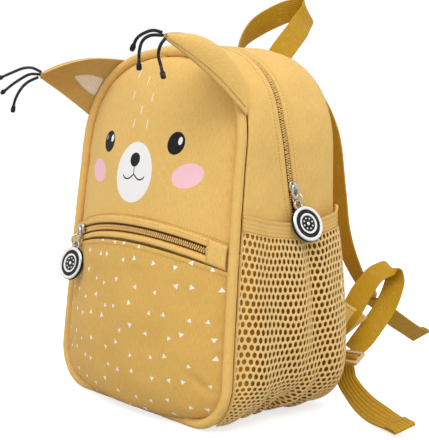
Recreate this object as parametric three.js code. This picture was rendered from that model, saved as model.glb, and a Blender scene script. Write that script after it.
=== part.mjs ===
// A small child's animal backpack, in millimetres, +Z up, its front face towards -Y.
// The origin is at the middle of the base, on the surface that the bag stands on.
import * as THREE from "three";

// Driving sizes of the bag
const BAG_WIDTH = 230;
const BAG_HEIGHT = 315;
const BAG_DEPTH = 131;
const FRONT_BULGE = 25;
const BACK_BULGE = 9;
const TOP_LEAN = 38.6;
const BACK_LEAN = 5;
const CLOTH = 1.6;
const PADDING = 4;
const GAP = 0.35;

// Edge piping and zips
const PIPING = 8.4;
const ZIP_WIDTH = 7;
const ZIP_THICK = 2.6;
const BAND_THICK = 2.6;
const ZIP_PLACE = 0.39;
const ZIP_DRIFT = 0.0021;
const ZIP_STRAIGHT_FROM = 250;
const ZIP_END_HEIGHT = 146;

// Front pocket
const POCKET_HEIGHT = 170;
const POCKET_ARCH = 18;
const POCKET_MOUTH = 20;
const POCKET_PROUD = 9;
const POCKET_DEPTH = 17;
const END_PATCH = 15;

// Side pockets of open net
const NET_THICK = 1.4;
const NET_BULGE = 24;
const NET_COLUMNS = 6;
const NET_ROWS = 9;
const NET_OPEN = 0.58;
const HEM_HEIGHT = 178;
const HEM_FALL = 8;
const HEM_DIP = 9;
const HEM_BAND = 14;
const HEM_STAND_OFF = 10;
const CREASE = 6;

// Ears and their cords
const EAR_THICK = 7;
const EAR_FROM = 0.757;
const EAR_TO = 0.905;
const EAR_TIP = 5;
const CORD = 2.6;
const KNOT = 4.4;

// Webbing and its sliders
const WEBBING = 20;
const WEBBING_THICK = 1.6;
const HANDLE_WIDTH = 22;
const HANDLE_REACH = 60;
const STRAP_DROP = 200;
const LOOP_REACH = 50;
const TAIL = 90;
const HEM_FOLD = 14;
const TAB_HEIGHT = 75;
const TAB_LENGTH = 48;
const TAB_REACH = 22;
const SLIDER_WIDTH = 27;
const SLIDER_LENGTH = 16;
const SLIDER_THICK = 2.6;
const SLIDER_SLOT = 3;

// Zip pulls
const CHARM = 31;
const CHARM_THICK = 4.4;
const CHARM_LUG = 8;
const RING = 10;
const RING_WIRE = 1.5;
const LINK_WIDTH = 9;
const LINK_LENGTH = 13;
const LINK_THICK = 2.2;
const SLIDER_BODY = 9;
const BODY_THICK = 2.6;

// Colours with their finish
const FINISH = {
  canvas: { color: 0xe1b766, roughness: 0.9, metalness: 0 },
  net: { color: 0xe6c37d, roughness: 0.9, metalness: 0 },
  webbing: { color: 0xcfa023, roughness: 0.8, metalness: 0 },
  cord: { color: 0x141620, roughness: 0.7, metalness: 0 },
  inner: { color: 0xe8d0b2, roughness: 0.9, metalness: 0 },
  plastic: { color: 0xd9b98c, roughness: 0.5, metalness: 0 },
  metal: { color: 0xc8c8c8, roughness: 0.3, metalness: 0.9 },
  charm: { color: 0x1a1b22, roughness: 0.4, metalness: 0 },
  coil: { color: 0xa8803c, roughness: 0.6, metalness: 0 },
};

// The outline runs from the middle of the base (0) up one side to the top (1) and down the other (2).
const BASE_END = 0.2;
const CORNER_END = 0.4;
const SIDE_END = 0.7;
const FRONT = {
  halfBase: BAG_WIDTH / 2,
  corner: BAG_WIDTH * 0.174,
  halfShoulder: BAG_WIDTH * 0.4696,
  shoulder: BAG_HEIGHT * 0.695,
  top: BAG_HEIGHT,
  fullness: 2.5,
};
const BACK = {
  halfBase: BAG_WIDTH * 0.487,
  corner: BAG_WIDTH * 0.1957,
  halfShoulder: BAG_WIDTH * 0.4696,
  shoulder: BAG_HEIGHT * 0.705,
  top: BAG_HEIGHT * 1.006,
  fullness: 2.3,
};

const bag = new THREE.Group();
const materials = {};
for (const [name, finish] of Object.entries(FINISH)) {
  materials[name] = new THREE.MeshStandardMaterial(finish);
}

const { lerp, clamp } = THREE.MathUtils;
const vec = (x, y, z) => new THREE.Vector3(x, y, z);

// Turns a closed body's faces outwards, whichever way its sections ran.
function facingOut(geometry) {
  const p = geometry.attributes.position;
  const index = geometry.index.array;
  let volume = 0;
  for (let i = 0; i < index.length; i += 3) {
    const [a, b, c] = [0, 1, 2].map((k) => new THREE.Vector3().fromBufferAttribute(p, index[i + k]));
    volume += a.dot(b.cross(c));
  }
  if (volume < 0) {
    for (let i = 0; i < index.length; i += 3) {
      [index[i + 1], index[i + 2]] = [index[i + 2], index[i + 1]];
    }
  }
  return geometry;
}

function geometryOf(points, index) {
  const geometry = new THREE.BufferGeometry();
  geometry.setAttribute("position", new THREE.Float32BufferAttribute(points.flatMap((p) => p.toArray()), 3));
  geometry.setIndex(index);
  return facingOut(geometry);
}

function add(name, finish, geometry) {
  const mesh = new THREE.Mesh(geometry, materials[finish]);
  mesh.name = name;
  bag.add(mesh);
  return mesh;
}

// A wall between two nets of points that have the same rows and columns; a ringed wall joins its ends.
function wall(outer, inner, ringed = false) {
  const rows = outer.length;
  const cols = outer[0].length;
  const at = (side, i, j) => side * rows * cols + (i % rows) * cols + j;
  const index = [];
  const quad = (a, b, c, d) => index.push(a, b, c, a, c, d);
  const last = ringed ? rows : rows - 1;
  for (let i = 0; i < last; i++) {
    for (let j = 0; j < cols - 1; j++) {
      quad(at(0, i, j), at(0, i + 1, j), at(0, i + 1, j + 1), at(0, i, j + 1));
      quad(at(1, i, j), at(1, i, j + 1), at(1, i + 1, j + 1), at(1, i + 1, j));
    }
    quad(at(0, i, 0), at(1, i, 0), at(1, i + 1, 0), at(0, i + 1, 0));
    quad(at(0, i, cols - 1), at(0, i + 1, cols - 1), at(1, i + 1, cols - 1), at(1, i, cols - 1));
  }
  for (let j = 0; j < cols - 1 && !ringed; j++) {
    quad(at(0, 0, j), at(0, 0, j + 1), at(1, 0, j + 1), at(1, 0, j));
    quad(at(0, last, j), at(1, last, j), at(1, last, j + 1), at(0, last, j + 1));
  }
  return geometryOf([...outer.flat(), ...inner.flat()], index);
}

// A body lofted through closed sections; its ends are capped, or join when it is ringed.
function loft(sections, ringed = false) {
  const m = sections[0].length;
  const n = sections.length;
  const index = [];
  const at = (i, j) => (i % n) * m + (j % m);
  for (let i = 0; i < (ringed ? n : n - 1); i++) {
    for (let j = 0; j < m; j++) {
      index.push(at(i, j), at(i + 1, j), at(i + 1, j + 1));
      index.push(at(i, j), at(i + 1, j + 1), at(i, j + 1));
    }
  }
  for (let j = 1; j < m - 1 && !ringed; j++) {
    index.push(at(0, 0), at(0, j), at(0, j + 1));
    index.push(at(n - 1, 0), at(n - 1, j + 1), at(n - 1, j));
  }
  return geometryOf(sections.flat(), index);
}

const steps = (count, from = 0, to = 1) =>
  Array.from({ length: count + 1 }, (_, i) => lerp(from, to, i / count));

// Steps that are closer together at both ends
const eased = (count, from, to) =>
  steps(count).map((k) => lerp(from, to, (k + 0.5 - Math.cos(Math.PI * k) / 2) / 2));

// A point of the front or back outline, drawn in by inset
function outlineAt(panel, place, inset = 0) {
  const turn = ((place % 2) + 2) % 2;
  const side = turn <= 1 ? 1 : -1;
  const t = turn <= 1 ? turn : 2 - turn;
  const flat = panel.halfBase - panel.corner;
  const radius = panel.corner - inset;
  if (t < BASE_END) return new THREE.Vector2((side * flat * t) / BASE_END, inset);
  if (t < CORNER_END) {
    const angle = (((t - BASE_END) / (CORNER_END - BASE_END)) * Math.PI) / 2;
    const x = flat + radius * Math.sin(angle);
    return new THREE.Vector2(side * x, panel.corner - radius * Math.cos(angle));
  }
  if (t < SIDE_END) {
    const k = (t - CORNER_END) / (SIDE_END - CORNER_END);
    const x = lerp(panel.halfBase, panel.halfShoulder, k) - inset;
    return new THREE.Vector2(side * x, lerp(panel.corner, panel.shoulder, k));
  }
  const angle = (((t - SIDE_END) / (1 - SIDE_END)) * Math.PI) / 2;
  const power = 2 / panel.fullness;
  const x = (panel.halfShoulder - inset) * Math.max(Math.cos(angle), 0) ** power;
  const z = panel.shoulder + (panel.top - inset - panel.shoulder) * Math.sin(angle) ** power;
  return new THREE.Vector2(side * x, z);
}

// Half the panel's width at a height, drawn in by inset
function halfWidthAt(panel, z, inset = 0) {
  const radius = panel.corner - inset;
  if (z < panel.corner) {
    const drop = panel.corner - z;
    return panel.halfBase - panel.corner + Math.sqrt(Math.max(radius * radius - drop * drop, 0));
  }
  if (z < panel.shoulder) {
    const k = (z - panel.corner) / (panel.shoulder - panel.corner);
    return lerp(panel.halfBase, panel.halfShoulder, k) - inset;
  }
  const k = clamp((z - panel.shoulder) / (panel.top - inset - panel.shoulder), 0, 1);
  return (panel.halfShoulder - inset) * (1 - k ** panel.fullness) ** (1 / panel.fullness);
}

// Where a height is met on the side of an outline
function placeOfHeight(panel, z) {
  const k = (z - panel.corner) / (panel.shoulder - panel.corner);
  return CORNER_END + k * (SIDE_END - CORNER_END);
}

// The front seam leans back as it rises, first slowly and then faster; the back seam is nearly upright.
const FRONT_SEAM = -BAG_DEPTH * 0.4733;
const BACK_SEAM = BAG_DEPTH * 0.5267;
const frontSeam = (z) => {
  const share = z / BAG_HEIGHT;
  return FRONT_SEAM + TOP_LEAN * (0.714 * share + 0.286 * share * share);
};
const backSeam = (z) => BACK_SEAM + (BACK_LEAN * z) / BAG_HEIGHT;

// A soft crease draws the lower corner in, nearer the front.
const creaseAt = (place, share) => {
  const turn = ((place % 2) + 2) % 2;
  const round = ((turn <= 1 ? turn : 2 - turn) - BASE_END) / 0.24;
  if (round <= 0 || round >= 1) return 0;
  return CREASE * Math.sin(Math.PI * round) * Math.exp(-(((share - 0.4) / 0.18) ** 2));
};

// How full the stuffed bag is at a height, from 0 at its ends to 1
const fullnessAt = (z) => {
  const q = clamp(z / BAG_HEIGHT, 0.001, 0.999);
  return (4 * q * (1 - q)) ** 0.45;
};

// A point on the side wall: place round the outline, share of the depth, and lift off the wall
function sidePoint(place, share, lift = 0) {
  const front = outlineAt(FRONT, place);
  const back = outlineAt(BACK, place);
  const step = 0.004;
  const ahead = outlineAt(FRONT, place + step);
  const behind = outlineAt(FRONT, place - step);
  const along = ahead.sub(behind).normalize();
  const out = lift - creaseAt(place, share);
  const x = lerp(front.x, back.x, share) + along.y * out;
  const z = lerp(front.y, back.y, share) - along.x * out;
  return vec(x, lerp(frontSeam(front.y), backSeam(back.y), share), z);
}

const depthAt = (place) => {
  return backSeam(outlineAt(BACK, place).y) - frontSeam(outlineAt(FRONT, place).y);
};

// Front faces
const PANEL_INSET = PIPING + 2 * GAP;
const faceAt = (x, z) => {
  const share = clamp(x / halfWidthAt(FRONT, z, PANEL_INSET), -1, 1);
  return frontSeam(z) - FRONT_BULGE * fullnessAt(z) * (1 - share * share);
};
const archAt = (x, height) => height - POCKET_ARCH * (x / (BAG_WIDTH * 0.448)) ** 2;
const mouthTop = (x) => archAt(x, POCKET_HEIGHT);
const mouthMiddle = (x) => archAt(x, POCKET_HEIGHT - POCKET_MOUTH / 2 - GAP);
const mouthBottom = (x) => archAt(x, POCKET_HEIGHT - POCKET_MOUTH);

function frontPanel() {
  const rows = eased(14, PANEL_INSET, BAG_HEIGHT - PANEL_INSET - GAP).map((z) => {
    const half = halfWidthAt(FRONT, z, PANEL_INSET);
    return steps(12, -half, half).map((x) => {
      const share = half ? x / half : 0;
      const sunk = THREE.MathUtils.smoothstep(mouthBottom(x) - z, 0, POCKET_MOUTH);
      return vec(x, faceAt(x, z) + POCKET_DEPTH * sunk * (1 - share * share), z);
    });
  });
  const inner = rows.map((row) => row.map((p) => p.clone().setY(p.y + CLOTH)));
  add("front_panel", "canvas", wall(rows, inner));
}

const POCKET_INSET = PANEL_INSET;
const proudAt = (x, z) => {
  const share = clamp(x / halfWidthAt(FRONT, z, POCKET_INSET), -1, 1);
  const rise = clamp(z / mouthBottom(x), 0, 1);
  const swell = Math.sin(Math.PI * rise ** 0.7) ** 0.7;
  return (BAND_THICK + (POCKET_PROUD - BAND_THICK) * swell) * (1 - share ** 4);
};

function pocketPanel() {
  const half = (z) => halfWidthAt(FRONT, z, POCKET_INSET);
  const foot = POCKET_INSET;
  const rows = steps(9).map((up) =>
    steps(14, -1, 1).map((share) => {
      const z = lerp(foot, mouthBottom(share * half(POCKET_HEIGHT)) - 2 * GAP, up);
      const x = share * half(z);
      return vec(x, faceAt(x, z) - proudAt(x, z) - CLOTH - 2 * GAP, z);
    }),
  );
  const inner = rows.map((row) => row.map((p) => p.clone().setY(p.y + CLOTH)));
  add("pocket_panel", "canvas", wall(rows, inner));
}

// A band that follows the pocket's arched mouth, between two heights given at each x
function mouthBand(name, finish, low, high, thick, half, crown = 0) {
  const rows = steps(2).map((up) =>
    steps(14, -half, half).map((x) => {
      const z = lerp(low(x), high(x), up);
      const swell = crown * 4 * up * (1 - up);
      return vec(x, faceAt(x, z) - thick - 2 * GAP - swell, z);
    }),
  );
  const inner = rows.map((row) => row.map((p) => vec(p.x, faceAt(p.x, p.z) - 2 * GAP, p.z)));
  add(name, finish, wall(rows, inner));
}

function pocketMouth() {
  const reach = halfWidthAt(FRONT, POCKET_HEIGHT, PANEL_INSET) - 2 * GAP;
  const zipReach = reach - END_PATCH - GAP;
  const lane = ZIP_WIDTH / 2;
  mouthBand("pocket_band_upper", "canvas", (x) => mouthMiddle(x) + lane + GAP, mouthTop, BAND_THICK, zipReach, 1);
  mouthBand("pocket_zip", "coil", (x) => mouthMiddle(x) - lane, (x) => mouthMiddle(x) + lane, ZIP_THICK - 1, zipReach);
  const low = (x) => mouthBottom(x) + GAP;
  mouthBand("pocket_band_lower", "canvas", low, (x) => mouthMiddle(x) - lane - GAP, BAND_THICK, zipReach, 1.5);
  for (const side of [1, -1]) {
    const rows = steps(1).map((up) =>
      steps(2, zipReach + GAP, reach).map((x) => {
        const z = lerp(low(x), mouthTop(x), up);
        return vec(side * x, faceAt(x, z) - BAND_THICK, z);
      }),
    );
    const inner = rows.map((row) => row.map((p) => p.clone().setY(faceAt(p.x, p.z) - GAP)));
    add(side > 0 ? "pocket_end_right" : "pocket_end_left", "canvas", wall(rows, inner));
  }
}

// The rolled piping that closes the front seam all round
function frontPiping() {
  const radius = PIPING / 2;
  const sections = steps(55, 0, 2 - 2 / 56).map((place) => {
    const middle = outlineAt(FRONT, place, radius + GAP / 2);
    const rim = outlineAt(FRONT, place, GAP / 2);
    const out = rim.clone().sub(middle).normalize();
    const y = frontSeam(rim.y);
    return steps(7, 0, (2 * Math.PI * 7) / 8).map((angle) => {
      const reach = radius * Math.cos(angle);
      return vec(middle.x + out.x * reach, y + radius * Math.sin(angle), middle.y + out.y * reach);
    });
  });
  add("front_piping", "canvas", loft(sections, true));
}

// Walls of the gusset, between two shares of the depth at each place
function gusset(name, from, to, count, across, start, end) {
  const row = (place, lift) => steps(across, start(place), end(place)).map((share) => sidePoint(place, share, lift));
  const net = (lift) => steps(count, from, to).map((place) => row(place, lift));
  add(name, "canvas", wall(net(0), net(-CLOTH)));
}

const zipShare = (place) => {
  const z = outlineAt(FRONT, place).y;
  return ZIP_PLACE + ZIP_DRIFT * Math.max(ZIP_STRAIGHT_FROM - z, 0);
};
const frontShare = (place) => (PIPING * 0.43) / depthAt(place);

function gussets() {
  const end = placeOfHeight(FRONT, ZIP_END_HEIGHT);
  const lane = (place) => (ZIP_WIDTH / 2 + GAP) / depthAt(place);
  gusset("gusset_front", end, 2 - end, 34, 2, frontShare, (s) => zipShare(s) - lane(s));
  gusset("gusset_back", end, 2 - end, 34, 2, (s) => zipShare(s) + lane(s), () => 1);
  const lip = 0.002;
  gusset("base_gusset", lip - end, end - lip, 30, 5, frontShare, () => 1);
  const places = steps(34, end, 2 - end);
  const edge = (s, sign) => zipShare(s) + (sign * ZIP_WIDTH) / 2 / depthAt(s);
  const net = (lift) => places.map((s) => [edge(s, -1), edge(s, 1)].map((share) => sidePoint(s, share, lift)));
  add("main_zip", "coil", wall(net(ZIP_THICK - CLOTH - GAP), net(-CLOTH)));
}

function backPanel() {
  const inset = CLOTH + 2 * GAP;
  const rows = eased(12, inset, BACK.top - inset - GAP).map((z) => {
    const half = halfWidthAt(BACK, z, inset);
    return steps(10, -half, half).map((x) => {
      const share = half ? x / half : 0;
      const swell = fullnessAt(z) * (1 - share * share);
      return { outer: vec(x, backSeam(z) + BACK_BULGE * swell, z), swell };
    });
  });
  const outer = rows.map((row) => row.map((p) => p.outer));
  const inner = rows.map((row) =>
    row.map(({ outer: p, swell }) => vec(p.x, p.y - CLOTH - (PADDING - CLOTH) * swell ** 0.5, p.z)),
  );
  add("back_panel", "canvas", wall(outer, inner));
}

// Side pockets: an open net that swells away from the gusset, under a wide hem
const hemTop = (share) => HEM_HEIGHT - HEM_FALL * share - HEM_DIP * Math.sin(Math.PI * share);
// How far the stuffed pocket swells across its width: most near the back seam
const swellAcross = (share) => Math.sin(Math.PI * share) ** 0.35 * (0.35 + 1.25 * share * share);
const standOff = (share) => CLOTH + GAP + HEM_STAND_OFF * swellAcross(share);
const SEAM_START = 0.045;
const SEAM_END = 0.985;
const NET_FOOT = 0.27;
const NET_CLEAR = 1.2;

function hem(side) {
  const rows = steps(10, SEAM_START, SEAM_END).map((share) => {
    const top = placeOfHeight(FRONT, hemTop(share));
    const bottom = placeOfHeight(FRONT, hemTop(share) - HEM_BAND);
    return [top, bottom].map((place) => sidePoint(side * place, share, standOff(share)));
  });
  const inner = steps(10, SEAM_START, SEAM_END).map((share) => {
    const top = placeOfHeight(FRONT, hemTop(share));
    const bottom = placeOfHeight(FRONT, hemTop(share) - HEM_BAND);
    return [top, bottom].map((place) => sidePoint(side * place, share, standOff(share) - CLOTH));
  });
  return wall(rows, inner);
}

// The lift of the net: seams at its sides and foot, fullest a little under its middle
const netLift = (share, up) => {
  const foot = THREE.MathUtils.smoothstep(up, 0, 0.45);
  const bow = Math.sin(Math.PI * clamp(up, 0, 1)) ** 0.75;
  return NET_THICK + GAP + NET_CLEAR + (HEM_STAND_OFF * foot + (NET_BULGE - HEM_STAND_OFF) * bow) * swellAcross(share);
};

function net(side) {
  const point = (share, up, lift) => {
    const top = placeOfHeight(FRONT, hemTop(share) - HEM_BAND - GAP);
    return sidePoint(side * lerp(NET_FOOT, top, up), share, netLift(share, up) - lift);
  };
  const points = [];
  const index = [];
  const put = (p) => points.push(p) - 1;
  const quad = (a, b, c, d) => index.push(a, b, c, a, c, d);
  const grid = [0, NET_THICK].map((lift) =>
    steps(NET_ROWS).map((up) => steps(NET_COLUMNS, SEAM_START, SEAM_END).map((share) => put(point(share, up, lift)))),
  );
  const corners = [
    [0, 0],
    [0, 1],
    [1, 1],
    [1, 0],
  ];
  const shareOf = (j) => lerp(SEAM_START, SEAM_END, j / NET_COLUMNS);
  for (let i = 0; i < NET_ROWS; i++) {
    for (let j = 0; j < NET_COLUMNS; j++) {
      const hole = [0, NET_THICK].map((lift) =>
        corners.map(([a, b]) => {
          const up = (i + 0.5 + (a - 0.5) * NET_OPEN) / NET_ROWS;
          return put(point(shareOf(j + 0.5 + (b - 0.5) * NET_OPEN), up, lift));
        }),
      );
      corners.forEach(([a, b], k) => {
        const next = (k + 1) % 4;
        const [c, d] = corners[next];
        quad(grid[0][i + a][j + b], grid[0][i + c][j + d], hole[0][next], hole[0][k]);
        quad(grid[1][i + a][j + b], hole[1][k], hole[1][next], grid[1][i + c][j + d]);
        quad(hole[0][k], hole[0][next], hole[1][next], hole[1][k]);
      });
    }
  }
  const rim = (a, b) => quad(grid[0][b[0]][b[1]], grid[0][a[0]][a[1]], grid[1][a[0]][a[1]], grid[1][b[0]][b[1]]);
  for (let i = 0; i < NET_ROWS; i++) {
    rim([i + 1, 0], [i, 0]);
    rim([i, NET_COLUMNS], [i + 1, NET_COLUMNS]);
  }
  for (let j = 0; j < NET_COLUMNS; j++) {
    rim([0, j], [0, j + 1]);
    rim([NET_ROWS, j + 1], [NET_ROWS, j]);
  }
  return geometryOf(points, index);
}

// An ear is sewn along the arch and closes to its tip; forward, out and up place the tip from the arch.
const EARS = {
  ear_right: { side: 1, forward: 68, out: -8, up: 28, camber: 10 },
  ear_left: { side: -1, forward: 64, out: 7, up: 5, camber: 12 },
};
const earPlace = (across) => lerp(EAR_FROM, EAR_TO, across);
const earRoot = (side, across) => sidePoint(side * earPlace(across), 0.008, GAP);
const earTip = ({ side, forward, out, up }) => {
  const root = earRoot(side, 0.5);
  return vec(root.x + side * out, root.y - forward, root.z + up);
};

function earPoint(ear, along, across, lift) {
  const root = earRoot(ear.side, across);
  const tip = earTip(ear);
  const spread = earRoot(ear.side, 1).sub(earRoot(ear.side, 0)).normalize();
  tip.addScaledVector(spread, (across - 0.5) * EAR_TIP);
  const p = root.lerp(tip, along);
  const middle = earRoot(ear.side, 0.5);
  const out = vec(middle.x, 0, middle.z - FRONT.shoulder).normalize();
  const belly = 4 * across * (1 - across);
  const swell = ear.camber * Math.sin(Math.PI * along) * (0.35 + 0.65 * belly);
  const thick = CLOTH + (EAR_THICK - CLOTH) * belly * (1 - 0.6 * along);
  return p.addScaledVector(out, swell + lift * thick);
}

function ears() {
  for (const [name, ear] of Object.entries(EARS)) {
    const net = (lift) => steps(8).map((along) => steps(6).map((across) => earPoint(ear, along, across, lift)));
    add(name, "canvas", wall(net(1), net(0)));
    const patch = (lift) =>
      steps(4, 0.06, 0.5).map((along) =>
        steps(2, -1, 1).map((wing) => {
          const width = 0.26 * (1 - (along - 0.06) / 0.5);
          const p = earPoint(ear, along, 0.42 + wing * width, 0);
          const middle = earRoot(ear.side, 0.5);
          const out = vec(middle.x, 0, middle.z - FRONT.shoulder).normalize();
          return p.addScaledVector(out, -2 * GAP - lift * CLOTH);
        }),
      );
    add(name.replace("ear_", "ear_inner_"), "inner", wall(patch(0), patch(1)));
  }
}

// Routes of the ear cords from each ear's tip: chosen by hand
const CORD_ROUTES = {
  ear_cord_right_a: [[-1, -1.7, 3.8], [-7, -4, 5.5], [-16, -4, 5], [-28, -4, 1], [-35, -4, -8]],
  ear_cord_right_b: [[1, -1.7, 1.5], [-7, -8, 1.5], [-15, -9, -2], [-19, -9, -9], [-21, -8, -24]],
  ear_cord_right_c: [[3, -1.7, -0.8], [2.5, -6, -6], [1, -7, -13], [4, -7, -22], [7, -7, -31]],
  ear_cord_left_a: [[1, -1.7, 3.8], [-10, -3, 7.5], [-25, -3, 8], [-44, -3, 5], [-70, -3, 0]],
  ear_cord_left_b: [[-1, -1.7, 1.6], [-13, -4, 2], [-33, -6, -4], [-60, -6, -14]],
  ear_cord_left_c: [[-3, -1.7, -0.8], [-10, -8, -5], [-24, -8, -12], [-34, -8, -22], [-38, -8, -32]],
};

function cords() {
  for (const [name, route] of Object.entries(CORD_ROUTES)) {
    const tip = earTip(name.includes("right") ? EARS.ear_right : EARS.ear_left);
    const path = new THREE.CatmullRomCurve3(route.map(([x, y, z]) => tip.clone().add(vec(x, y, z))));
    const length = path.getLength();
    const count = 13;
    const knotFrom = 1 - (KNOT * 1.2) / length;
    const stops = [...steps(count - 4, 0, knotFrom), lerp(knotFrom, 1, 0.3), lerp(knotFrom, 1, 0.75), 1];
    const radii = stops.map((t, i) => (i < stops.length - 3 ? CORD / 2 : [KNOT, KNOT, CORD][i - stops.length + 3] / 2));
    const frames = stops.map((t) => ({ at: path.getPointAt(t), along: path.getTangentAt(t) }));
    const sections = frames.map(({ at, along }, i) => {
      const side = new THREE.Vector3().crossVectors(along, vec(0.3, 1, 0.2)).normalize();
      const up = new THREE.Vector3().crossVectors(side, along).normalize();
      return steps(7, 0, (2 * Math.PI * 7) / 8).map((angle) =>
        at.clone().addScaledVector(side, radii[i] * Math.cos(angle)).addScaledVector(up, radii[i] * Math.sin(angle)),
      );
    });
    add(name, "cord", loft(sections));
  }
}

// Flat webbing through stations that give its middle and the direction across it
function webbing(name, stations, width, hemmed = false) {
  const middle = new THREE.CatmullRomCurve3(stations.map((s) => s.at));
  const across = new THREE.CatmullRomCurve3(stations.map((s) => s.across));
  const length = middle.getLength();
  const count = Math.max(8, Math.round(length / 9));
  const fold = 1 - HEM_FOLD / length;
  const stops = hemmed ? [...steps(count, 0, fold), fold + 0.002, 1] : steps(count);
  const spans = stations.length - 1;
  const sections = stops.map((stop) => {
    const t = middle.getUtoTmapping(stop);
    const at = middle.getPoint(t);
    const along = middle.getTangent(t);
    const wide = across.getPoint(clamp(t, 0, spans)).normalize();
    const normal = new THREE.Vector3().crossVectors(along, wide).normalize();
    const thick = hemmed && stop > fold ? WEBBING_THICK * 2.4 : WEBBING_THICK;
    return [[1, 1], [1, -1], [-1, -1], [-1, 1]].map(([a, b]) =>
      at.clone().addScaledVector(wide, (a * width) / 2).addScaledVector(normal, (b * thick) / 2),
    );
  });
  add(name, "webbing", loft(sections));
}

const stationsFrom = (origin, reach, side, rows) =>
  rows.map(({ at: [x, y, z], across: [a, b, c] }) => ({
    at: vec(origin.x + side * x * reach, origin.y + y * reach, origin.z + z * reach),
    across: vec(side * a, b, c),
  }));

// The carrying handle leans back from the back panel's top; both legs turn their ribs towards each other.
const HANDLE = [
  { at: [-0.4, 0.02, -0.32], across: [-0.8, 0.5, -0.1] },
  { at: [-0.41, 0.12, -0.08], across: [-0.65, 0.7, -0.15] },
  { at: [-0.42, 0.3, 0.14], across: [-0.45, 0.75, -0.45] },
  { at: [-0.36, 0.5, 0.31], across: [-0.17, 0.65, -0.74] },
  { at: [-0.22, 0.7, 0.45], across: [-0.04, 0.57, -0.82] },
  { at: [-0.06, 0.92, 0.56], across: [0.06, 0.57, -0.82] },
  { at: [0.12, 1.08, 0.58], across: [0.06, 0.59, -0.8] },
  { at: [0.22, 1.02, 0.5], across: [0.07, 0.64, -0.77] },
  { at: [0.28, 0.84, 0.36], across: [0.23, 0.73, -0.64] },
  { at: [0.38, 0.6, 0.2], across: [0.4, 0.74, -0.54] },
  { at: [0.43, 0.34, 0], across: [0.5, 0.7, -0.5] },
  { at: [0.45, 0.12, -0.2], across: [0.7, 0.6, -0.4] },
  { at: [0.44, 0.02, -0.36], across: [0.85, 0.5, -0.1] },
];

function handle() {
  const top = BACK.top;
  const origin = vec(0, backSeam(top) + BACK_BULGE * 0.9, top + 7);
  webbing("handle", stationsFrom(origin, HANDLE_REACH * 1.05, 1, HANDLE), HANDLE_WIDTH);
}

// Each shoulder strap bows away from the back and ends in a slider, from which its tail hangs free.
const STRAP = [
  { at: [0, 0, 0], across: [-1, 0, 0] },
  { at: [0.065, 0.1, -0.1], across: [-1, 0, -0.05] },
  { at: [0.13, 0.165, -0.28], across: [-0.98, 0.05, -0.15] },
  { at: [0.19, 0.159, -0.56], across: [-0.98, 0.1, -0.18] },
  { at: [0.236, 0.137, -0.735], across: [-0.96, 0.14, -0.25] },
  { at: [0.27, 0.145, -0.85], across: [-0.95, 0.16, -0.25] },
  { at: [0.287, 0.178, -0.93], across: [-0.9, 0.3, -0.3] },
  { at: [0.305, 0.196, -0.972], across: [-0.9, 0.31, -0.3] },
];
const STRAP_TAIL = [
  { at: [0, 0, 0], across: [-0.85, 0.3, -0.4] },
  { at: [0, 0.13, -0.06], across: [-0.76, 0.4, -0.52] },
  { at: [0.01, 0.39, -0.25], across: [-0.75, 0.24, -0.61] },
  { at: [-0.02, 0.745, -0.44], across: [-0.8, 0.18, -0.57] },
  { at: [-0.04, 1, -0.56], across: [-0.7, 0.16, -0.7] },
];
// The lower webbing leaves its tab, makes a slack loop and comes down to a second slider with its own tail.
const LOOP = [
  { at: [-0.07, -0.03, 0.12], across: [-0.81, 0.11, 0.58] },
  { at: [-0.06, 0.24, 0.42], across: [-0.79, 0.14, 0.6] },
  { at: [-0.04, 0.38, 0.56], across: [-0.8, 0.2, 0.57] },
  { at: [0, 0.56, 0.72], across: [-0.81, 0.24, 0.54] },
  { at: [0.06, 0.73, 0.79], across: [-0.84, 0.18, 0.5] },
  { at: [0.12, 0.9, 0.82], across: [-0.92, 0, 0.38] },
  { at: [0.17, 0.93, 0.62], across: [-0.99, -0.07, 0.1] },
  { at: [0.2, 0.82, 0.42], across: [-0.98, -0.19, 0.06] },
  { at: [0.2, 0.57, 0.1], across: [-0.91, -0.37, 0.15] },
  { at: [0.16, 0.3, -0.16], across: [-0.9, -0.4, 0.15] },
  { at: [0.1, 0.1, -0.38], across: [-0.88, -0.4, 0] },
  { at: [0, -0.07, -0.58], across: [-0.98, -0.05, -0.05] },
];
const LOOP_TAIL = [
  { at: [0, 0, 0], across: [-0.95, 0, -0.25] },
  { at: [0.01, 0.01, -0.14], across: [-0.75, -0.2, -0.6] },
  { at: [0.144, -0.011, -0.267], across: [-0.8, -0.16, -0.52] },
  { at: [0.333, -0.078, -0.333], across: [-0.87, -0.08, -0.4] },
  { at: [0.556, -0.156, -0.38], across: [-0.96, 0, -0.22] },
  { at: [0.91, -0.3, -0.385], across: [-0.92, 0.05, -0.12] },
];

// A flat frame with two slots, held across the webbing
function slider(name, at, across, along) {
  const x = across.clone().normalize();
  const z = new THREE.Vector3().crossVectors(x, along).normalize();
  const y = new THREE.Vector3().crossVectors(z, x);
  const block = (width, length, shift) => {
    const [w, l] = [width / 2, length / 2];
    return [vec(-w, shift - l, 0), vec(w, shift - l, 0), vec(w, shift + l, 0), vec(-w, shift + l, 0)];
  };
  const shape = new THREE.Shape(block(SLIDER_WIDTH, SLIDER_LENGTH, 0).map((p) => new THREE.Vector2(p.x, p.y)));
  for (const shift of [SLIDER_LENGTH * 0.2, -SLIDER_LENGTH * 0.2]) {
    shape.holes.push(new THREE.Path(block(WEBBING + 1, SLIDER_SLOT, shift).map((p) => new THREE.Vector2(p.x, p.y)).reverse()));
  }
  const geometry = new THREE.ExtrudeGeometry(shape, { depth: SLIDER_THICK, bevelEnabled: false });
  geometry.translate(0, 0, -SLIDER_THICK / 2);
  const mesh = add(name, "plastic", geometry);
  mesh.position.copy(at);
  mesh.quaternion.setFromRotationMatrix(new THREE.Matrix4().makeBasis(x, y, z));
}

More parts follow.
